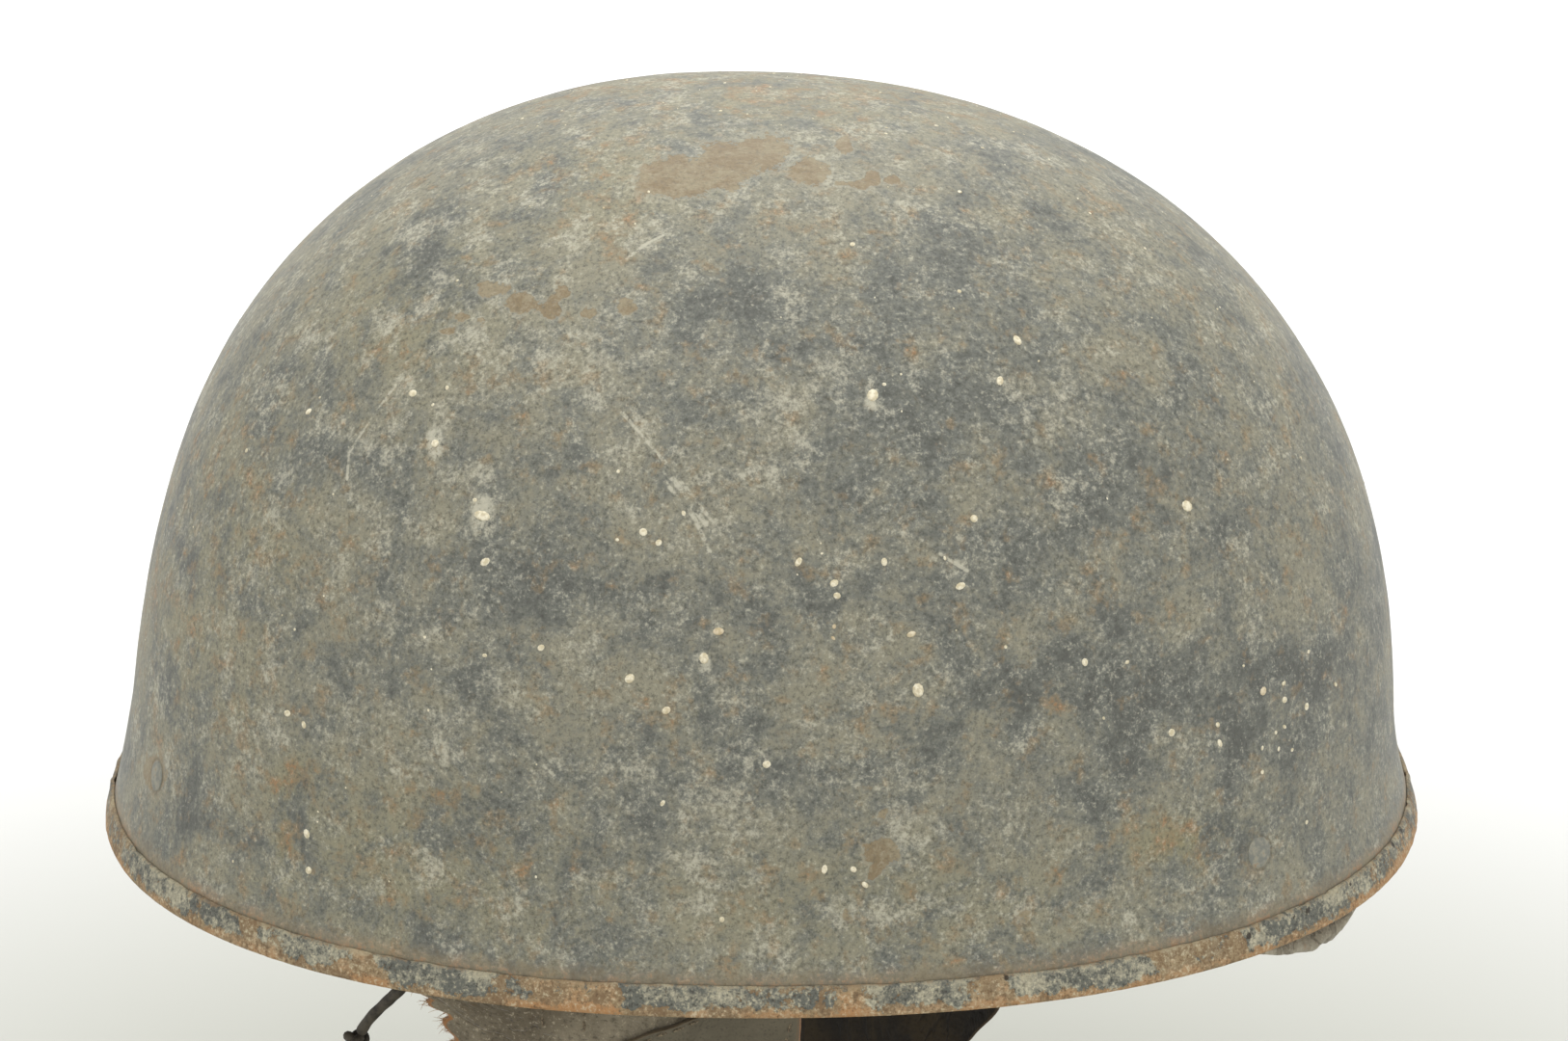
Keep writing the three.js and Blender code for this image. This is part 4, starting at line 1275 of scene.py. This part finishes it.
def leatherPiece(name, points, faces, border, soft, finish):
    # border: each point's distance to the sheet's edge, in millimetres
    piece = newPiece(name, toMetres(points), faces, finish)
    keepAttribute(piece.data, "edge", 1.0 - softStep(border, 0.2, soft))
    faceOutwards(piece)
    return piece


def roundShare(offU, offV, radius):
    off = np.minimum(np.minimum(offU, offV) / radius, 1.0)
    return np.sqrt(np.maximum(0.0, 1 - (1 - off) ** 2)) * 0.98 + 0.02


def gridLines(length, count, edge=(0.0, 0.12, 0.35, 0.75, 1.3)):
    # shares from 0 to 1 with lines close together at both ends, and each one's distance to its end
    inner = np.linspace(edge[-1], length - edge[-1], count)
    lines = np.concatenate([np.array(edge[:-1]), inner, length - np.array(edge[:-1])[::-1]])
    return np.stack([lines / length, np.minimum(lines, length - lines)], axis=-1)


def toSplitGrid(across, down, place, edgeRound):
    # a leather sheet with two faces and rounded edges; place(u, v, depth) gives its points
    rings, borders = [], []
    u, uOff = across[:, 0], across[:, 1]
    for v, vOff in down:
        half = 0.5 * roundShare(uOff, vOff, edgeRound)
        rings.append(np.concatenate([place(u, v, 0.5 - half), place(u, v, 0.5 + half)[::-1]]))
        border = np.minimum(uOff, vOff)
        borders.append(np.concatenate([border, border[::-1]]))
    count = len(rings[0])
    faces = ringFaces(len(rings), count, False)
    last = (len(rings) - 1) * count
    for i in range(len(u) - 1):
        j = count - 1 - i
        faces.append((i, j, j - 1, i + 1))
        faces.append((last + i, last + i + 1, last + j - 1, last + j))
    return np.concatenate(rings), faces, np.concatenate(borders)


def smoothRows(rows, column, share):  # a smooth curve through one column of rows that start with a drop
    table = np.array(rows, float)
    drops, values = table[:, 0], table[:, column]
    slopes = np.gradient(values, drops)
    share = np.clip(share, drops[0], drops[-1])
    i = np.clip(np.searchsorted(drops, share, side="right") - 1, 0, len(rows) - 2)
    gap = drops[i + 1] - drops[i]
    t = (share - drops[i]) / gap
    m, n = slopes[i] * gap * 0.7, slopes[i + 1] * gap * 0.7
    curve = (2 * t ** 3 - 3 * t ** 2 + 1) * values[i] + (t ** 3 - 2 * t ** 2 + t) * m
    return curve + (3 * t ** 2 - 2 * t ** 3) * values[i + 1] + (t ** 3 - t ** 2) * n


# the leather panels: each row of edges is how far down, and the share of the front and rear widths
sewnFace = 3.7  # the headband's inner face and a small seam gap, in from the dome's outer face
hangLook = {
    "rag": [(4.0, 31, 0.9), (1.6, 32, 0.5)],  # waves of the torn edge
    "ragDepth": 0.7,
    "tornBack": 1.6,
    "tornFrom": (-1.0, 4.0),                  # millimetres below the rim
    "curl": [(34.0, 33, 1.0)],                # waves of the hanging leather
    "curlFrom": (0.0, 26.0),
    "curlOut": 0.2,
}
panels = {
    "left": {
        "side": -1, "top": 28.0, "length": 92.0, "front": 67.0, "rear": 8.0,
        "wall": 2.0, "outset": 0.0, "flapLength": 92.0, "drift": 24.0, "columns": 96, "rows": 130,
        "torn": 1.0, "ripple": 0.35,
        "edges": [
            (-0.3, 1, 1), (-0.15, 1, 1), (0, 1.005, 1), (0.03, 0.975, 1), (0.045, 0.93, 1), (0.06, 0.945, 1),
            (0.08, 0.885, 0.98), (0.1, 0.9, 0.98), (0.14, 0.85, 0.96), (0.18, 0.87, 0.94), (0.3, 0.85, 0.9),
            (0.5, 0.84, 0.7), (0.7, 0.82, 0.4), (0.84, 0.77, -0.1), (0.94, 0.68, -1), (1, 0.57, -2),
        ],
    },
    "facing": {
        "side": -1, "top": 4.0, "length": 84.0, "front": 42.0, "rear": 8.0,
        "wall": 1.4, "outset": 1.7, "flapLength": 92.0, "drift": 24.0, "columns": 64, "rows": 100,
        "torn": 0.0, "ripple": 0.12,
        "edges": [
            (-0.05, 0.15, 0.97), (0, 0.2, 0.97), (0.05, 0.38, 0.96), (0.08, 0.53, 0.95), (0.12, 0.67, 0.94),
            (0.17, 0.77, 0.92), (0.25, 0.85, 0.9), (0.4, 0.95, 0.8), (0.65, 1, 0.5), (0.85, 0.97, -0.2),
            (0.95, 0.9, -1), (1, 0.8, -1.8),
        ],
    },
    "right": {
        "side": 1, "top": 28.0, "length": 108.0, "front": 45.0, "rear": 60.0,
        "wall": 2.0, "outset": 0.0, "flapLength": 108.0, "drift": 34.0, "columns": 110, "rows": 140,
        "torn": 0.0, "ripple": 0.4,
        "edges": [
            (-0.26, 1, 1), (-0.13, 1, 1), (0, 1, 1.02), (0.15, 1, 1.05), (0.35, 0.99, 1.05),
            (0.55, 0.97, 1.02), (0.7, 0.93, 0.99), (0.815, 0.84, 0.94), (0.88, 0.74, 0.84),
            (0.94, 0.6, 0.72), (1, 0.38, 0.5),
        ],
    },
}


def panelPoint(sizes, u, height, depth):
    first = sizes["edges"][0][0]
    share = np.where(height > 0, first * height / sizes["top"], -height / sizes["length"])
    ahead = -sizes["front"] * smoothRows(sizes["edges"], 1, share)
    behind = sizes["rear"] * smoothRows(sizes["edges"], 2, share)
    if sizes["torn"]:
        at = np.stack(np.broadcast_arrays(height, 0.0 * height, 0.0 * height), axis=-1)
        torn = uneven(at, hangLook["rag"]) * hangLook["ragDepth"] - hangLook["tornBack"]
        ahead = ahead + softStep(-height, *hangLook["tornFrom"]) * torn * sizes["torn"]
    x = ahead + (behind - ahead) * u
    inset = sewnFace + driftAt(height, sizes["flapLength"], sizes["drift"]) - sizes["outset"]
    flat = np.stack(np.broadcast_arrays(x, height, 0.0 * x), axis=-1)
    bend = sizes["ripple"] * uneven(flat, hangLook["curl"]) * softStep(-height, *hangLook["curlFrom"])
    bend = np.maximum(0.0, bend + hangLook["curlOut"] * sizes["ripple"])
    inset = inset + bend + depth * sizes["wall"]
    return np.stack([x, sizes["side"] * halfWidthAt(x, height, inset), height + 0.0 * x], axis=-1)


def makePanel(name, sizes, finish):
    tall = sizes["top"] + sizes["length"]
    across = gridLines(sizes["front"] + sizes["rear"], sizes["columns"])
    down = [(sizes["top"] - share * tall, off) for share, off in gridLines(tall, sizes["rows"])]

    def place(u, height, depth):
        return panelPoint(sizes, u, np.full(len(u), float(height)), depth)

    points, faces, border = toSplitGrid(across, down, place, sizes["wall"] / 2)
    return leatherPiece(name, points, faces, border, 2.2, finish)


flapLeft = makePanel("ear_flap_left_suede", panels["left"], leather("suedeLeather", suedeLook))
hand(flapLeft, "suede_leather", "ear_flap_left")
facingPanel = makePanel("flap_facing_left_smooth", panels["facing"], leather("facingLeather", facingLook))
hand(facingPanel, "facing_leather", "flap_facing_left")
# the far flap's colour carries painted shade, and painted highlights on its folds
flapRight = makePanel("ear_flap_right_dark", panels["right"], leather("darkLeather", darkShadedLook))
hand(flapRight, "dark_leather", "ear_flap_right")


# headband, a leather strip all round
headbandSizes = {
    "low": 7.0, "high": 31.0, "outer": 1.6, "wall": 1.8, "columns": 420, "rows": 18,
    "waves": [(14.0, 41, 0.12), (40.0, 42, 0.1)],
}


def makeHeadband():
    sizes = headbandSizes
    count = sizes["columns"]
    degrees = np.linspace(0, 360, count, endpoint=False)
    up = gridLines(sizes["high"] - sizes["low"], sizes["rows"], (0.0, 0.1, 0.3, 0.6, 1.0))
    rings, border = [], []
    for (share, off), way in [(row, -1) for row in up] + [(row, 1) for row in up[::-1]]:
        height = sizes["low"] + share * (sizes["high"] - sizes["low"])
        depth = 0.5 + way * 0.5 * roundShare(off, 99.0, sizes["wall"] / 2)
        wave = np.maximum(0.0, uneven(skinAt(degrees, height, 0.0), sizes["waves"]))
        inset = sizes["outer"] + depth * sizes["wall"] + wave * 0.5
        rings.append(skinAt(degrees, height, inset))
        border.append(np.full(count, off))
    faces = ringFaces(len(rings), count, True)
    finish = leather("headbandLeather", bandLeatherLook)
    points, border = np.concatenate(rings), np.concatenate(border)
    return leatherPiece("headband_strip", points, faces, border, 1.8, finish)


hand(makeHeadband(), "headband_leather", "headband")


# nape curtain, tucked up, with one fold below the rim
napeSizes = {
    "spread": 53.0, "low": 1.2, "wall": 2.0, "columns": 220,
    "foldDepth": 5.2, "foldReach": 2.9, "foldAngle": -37.0, "foldSpread": 15.0,
    "levels": [28.0, 25, 21, 17, 13, 9, 5, 3],
    "crumple": [(7.0, 51, 0.28), (2.6, 52, 0.14)],
}
foldOutside = [(0, 0.02), (-0.3, 0.1), (-0.46, 0.62), (-0.64, 0.95), (-0.82, 0.95), (-0.97, 0.55)]
foldInside = [-1, -0.8, 0]


def makeNape():
    sizes = napeSizes
    inside = sewnFace + sizes["wall"]
    centre = sewnFace + sizes["wall"] / 2
    rings, border = [], []
    for share, off in gridLines(2 * sizes["spread"], sizes["columns"]):
        angle = -sizes["spread"] + share * 2 * sizes["spread"]
        away = min(abs(angle - sizes["foldAngle"]) / sizes["foldSpread"], 1.0)
        bulge = (1 + math.cos(math.pi * away)) / 2
        drop = (sizes["foldDepth"] + sizes["low"]) * bulge + sizes["wall"] * 0.4
        section = [(sewnFace, height) for height in sizes["levels"]]
        for level, out in foldOutside:
            start = sewnFace + sizes["wall"] * 0.1 * level
            section.append((start - out * sizes["foldReach"] * bulge, sizes["low"] + level * drop))
        section += [(inside, sizes["low"] + level * drop) for level in foldInside]
        section += [(inside, height) for height in sizes["levels"][::-1]]
        middle = smoothPath(np.array(section), 4)
        inset = centre + (middle[:, 0] - centre) * roundShare(off * 2.0, 99.0, 1.0)
        angles = np.full(len(middle), angle)
        crumple = np.abs(uneven(skinAt(angles, middle[:, 1], 0.0), sizes["crumple"]))
        crumple = crumple * softStep(-middle[:, 1], -1.5, 1.0) * bulge
        rings.append(skinAt(angles, middle[:, 1] + crumple, inset + crumple * 0.6))
        border.append(np.full(len(middle), off))
    count = len(rings[0])
    faces = ringFaces(len(rings), count, False) + capFaces(len(rings), count)
    finish = leather("curtainLeather", curtainLook)
    points, border = np.concatenate(rings), np.concatenate(border)
    return leatherPiece("nape_curtain_fold", points, faces, border, 2.0, finish)


hand(makeNape(), "curtain_leather", "nape_curtain")


# stitches, sewn along lines on the leather
stitchSizes = {
    "length": 2.6,
    "width": 0.62,
    "pitch": 3.4,
    "low": 0.3,
    "seed": 61,
    "dark": tone(78, 68, 52),
    "pale": tone(138, 124, 98),
}
crossSeams = [(-41.5, -7), (-33.5, -6)]  # on the left flap: distance along the helmet, and lowest point
hems = [("facing", 3.2), ("right", 4.5)]  # panel, and margin to its edge


def threadFinish():
    finish, bench, place = startFinish("waxedThread")
    twist = bench.noise(place, 0.35, 2.0, 0.6)
    colour = bench.tint(stitchSizes["dark"], stitchSizes["pale"], twist, 0.4, 0.65)
    endFinish(bench, colour, 0.75 + (twist - 0.5) * 0.2, (twist - 0.5) * 0.1)
    return finish


def stitchesAlong(line, outward):
    # line: points in millimetres; outward: the surface's way out at each of them
    steps = np.linalg.norm(np.diff(line, axis=0), axis=1)
    along = np.concatenate([[0.0], np.cumsum(steps)])
    places = np.arange(stitchSizes["pitch"] / 2, along[-1], stitchSizes["pitch"])

    def sample(rows, shift):
        return np.stack([np.interp(places + shift, along, rows[:, i]) for i in range(3)], axis=-1)

    ways = unit(sample(line, 0.5) - sample(line, -0.5))
    return {"points": toMetres(sample(line, 0.0)), "facing": unit(sample(outward, 0.0)), "along": ways}


def panelLine(sizes, shares, heights, face):
    shares = np.asarray(shares, float)
    heights = np.asarray(heights, float)
    faces = np.full(len(heights), float(face))
    points = panelPoint(sizes, shares, heights, faces)
    way = panelPoint(sizes, shares, heights, faces - 0.5) - points
    return points, unit(way if face < 0.5 else -way)


def seamAtX(sizes, x, heights, face):  # a straight seam at one distance along the helmet
    shares = []
    for height in heights:
        level = np.array([float(height)])
        ahead, behind = [panelPoint(sizes, np.array([u]), level, np.zeros(1))[0][0] for u in (0.0, 1.0)]
        shares.append((x - ahead) / (behind - ahead))
    return panelLine(sizes, shares, heights, face)


def hemLine(sizes, margin, face):  # a line round a panel, inside its edge
    low = -sizes["length"] + margin
    fromTop = np.linspace(2.0, low, 90)
    shareIn = margin / (sizes["front"] + sizes["rear"]) * 1.25
    down = [(shareIn, height) for height in fromTop]
    across = [(share, low) for share in np.linspace(0.12, 0.88, 16)]
    up = [(1 - shareIn, height) for height in fromTop[::-1]]
    rows = np.array(down + across + up)
    return panelLine(sizes, rows[:, 0], rows[:, 1], face)


def makeStitches():
    lines = [seamAtX(panels["left"], x, np.linspace(6, low, 12), 0.0) for x, low in crossSeams]
    lines += [hemLine(panels[key], margin, 0.0) for key, margin in hems]
    for key in ("left", "right"):
        for height in (11.0, 24.5):
            lines.append(panelLine(panels[key], np.linspace(0.03, 0.97, 60), np.full(60, height), 1.0))
    degrees = np.linspace(-51, 51, 120)
    for height in (11.0, 25.0):
        line = skinAt(degrees, height, sewnFace + napeSizes["wall"])
        lines.append((line, skinAt(degrees, height, sewnFace + 12.0) - line))
    groups = [stitchesAlong(*line) for line in lines]
    places = {key: np.concatenate([group[key] for group in groups]) for key in ("points", "facing", "along")}
    count = len(places["points"])
    dice = np.random.default_rng(stitchSizes["seed"])
    places["spread"] = np.stack([
        stitchSizes["length"] / 2 * dice.uniform(0.88, 1.08, count),
        stitchSizes["width"] / 2 * dice.uniform(0.85, 1.15, count),
        np.full(count, stitchSizes["low"]),
    ], axis=-1) * metresPerMm
    shape = {0: 10, 1: 6, 2: 1.0}
    return scatter("leather_stitches", places, "GeometryNodeMeshUVSphere", shape, threadFinish())


hand(makeStitches(), "suede_leather")


# loose fibres on the torn edge
fibreSizes = {
    "count": 260,
    "long": 1.9,
    "thick": 0.075,
    "bend": 0.7,
    "highest": 1.0,   # millimetres above the rim, and how far down the torn edge they go
    "down": 34.0,
    "crowd": 1.3,     # the higher, the more of them at the top
    "droop": -0.3,
    "stray": 0.45,
    "root": 0.3,      # millimetres inside the leather
    "seed": 71,
    "brown": tone(150, 104, 60),
    "pale": tone(188, 158, 116),
}


def fibreFinish():
    finish, bench, place = startFinish("looseFibre")
    colour = bench.tint(fibreSizes["brown"], fibreSizes["pale"], bench.noise(place, 2.0, 3.0), 0.4, 0.6)
    endFinish(bench, colour, 0.85 + (bench.noise(place, 0.8) - 0.5) * 0.1, bench.noise(place, 0.3) * 0.02)
    return finish


def makeFibres():
    dice = np.random.default_rng(fibreSizes["seed"])
    count = fibreSizes["count"]
    thick = fibreSizes["thick"]
    heights = fibreSizes["highest"] - dice.random(count) ** fibreSizes["crowd"] * fibreSizes["down"]
    depth = dice.uniform(0.15, 0.85, count)
    points = panelPoint(panels["left"], np.zeros(count), heights, depth)
    away = unit(points - panelPoint(panels["left"], np.full(count, 0.03), heights, depth))
    stray = dice.normal(size=(count, 3)) * fibreSizes["stray"]
    facing = unit(away + stray + np.array([0.0, 0.0, fibreSizes["droop"]]))
    long = fibreSizes["long"] * (0.3 + dice.random(count) ** 2)
    places = {
        "points": toMetres(points - away * fibreSizes["root"]),
        "facing": facing,
        "along": sideways(facing, dice),
        "spread": np.stack([np.ones(count), np.ones(count), long], axis=-1) * metresPerMm,
    }
    shape = {0: 5, 1: 5, 2: 1, 3: thick * 0.25, 4: thick, 5: 1.0}
    return scatter("torn_fibres", places, "GeometryNodeMeshCone", shape, fibreFinish(), fibreSizes["bend"])


hand(makeFibres(), "suede_leather")


# floor, light and colour
stageSizes = {
    "floorHeight": -0.3,  # metres
    "floorReach": 6.0,
    # painted shade: the floor is darker round the helmet, for its shadow and the light falling off
    "near": (0.5, 0.505, 0.45),
    "far": (0.92, 0.92, 0.92),
    # painted light: the far floor glows as if brightly lit
    "paintedGlow": (0.5, 0.5, 0.495),
    "nearShadeEnd": (300.0, 680.0),  # millimetres from the middle, where the darker floor of painted shade becomes the pale one
    "paintedGlowEnd": (700.0, 2600.0),
    "skyLow": (1.0, 1.0, 0.99),
    "skyHigh": (0.46, 0.457, 0.45),
}
lights = [
    {"name": "above", "at": (-0.05, -0.1, 1.5), "aim": (0.0, 0.0, -0.1), "size": 1.8, "watts": 22.0},
    {"name": "front", "at": (-0.3, -2.0, 0.9), "aim": (0.0, 0.0, -0.1), "size": 1.8, "watts": 5.0},
    {"name": "right", "at": (1.7, -0.5, 0.7), "aim": (0.05, 0.0, -0.1), "size": 1.2, "watts": 3.0},
    {"name": "far", "at": (0.1, 1.9, 1.6), "aim": (0.0, 1.0, -0.3), "size": 1.6, "watts": 30.0},
]


def floorFinish():
    finish, bench, place = startFinish("paleFloor")
    off = bench.length(place)
    # painted shade near the helmet, and a painted glow far off
    colour = bench.tint(stageSizes["near"], stageSizes["far"], off, *stageSizes["nearShadeEnd"])
    paintedGlow = bench.tint((0.0, 0.0, 0.0), stageSizes["paintedGlow"], off, *stageSizes["paintedGlowEnd"])
    shader = bench.node("ShaderNodeBsdfPrincipled", None, {
        "Base Color": colour, "Roughness": 0.9, "Specular IOR Level": 0.1,
        "Emission Color": paintedGlow, "Emission Strength": 1.0,
    })
    bench.node("ShaderNodeOutputMaterial", None, {0: shader})
    return finish


reach, low = stageSizes["floorReach"], stageSizes["floorHeight"]
corners = [(-reach, -reach, low), (reach, -reach, low), (reach, reach, low), (-reach, reach, low)]
floor = newPiece("floor", corners, [(0, 1, 2, 3)], floorFinish())

for light in lights:
    lamp = bpy.data.lights.new(light["name"], "AREA")
    lamp.shape = "SQUARE"
    lamp.size = light["size"]
    lamp.energy = light["watts"]
    holder = linked(light["name"], lamp)
    holder.location = light["at"]
    way = Vector(light["aim"]) - Vector(light["at"])
    holder.rotation_euler = way.to_track_quat("-Z", "Y").to_euler()

world = bpy.data.worlds.new("softRoom")
world.use_nodes = True
world.node_tree.nodes.clear()
bench = Bench(world.node_tree)
upward = bench.xyz(bench.node("ShaderNodeTexCoord", None, None, 0))[2]
sky = bench.tint(stageSizes["skyLow"], stageSizes["skyHigh"], upward, 0.02, 0.4)
bench.node("ShaderNodeOutputWorld", None, {0: bench.node("ShaderNodeBackground", None, {0: sky, 1: 1.0})})
scene.world = world
scene.view_settings.view_transform = "Standard"
print("stage made")

bpy.context.view_layer.update()
print("all pieces made")
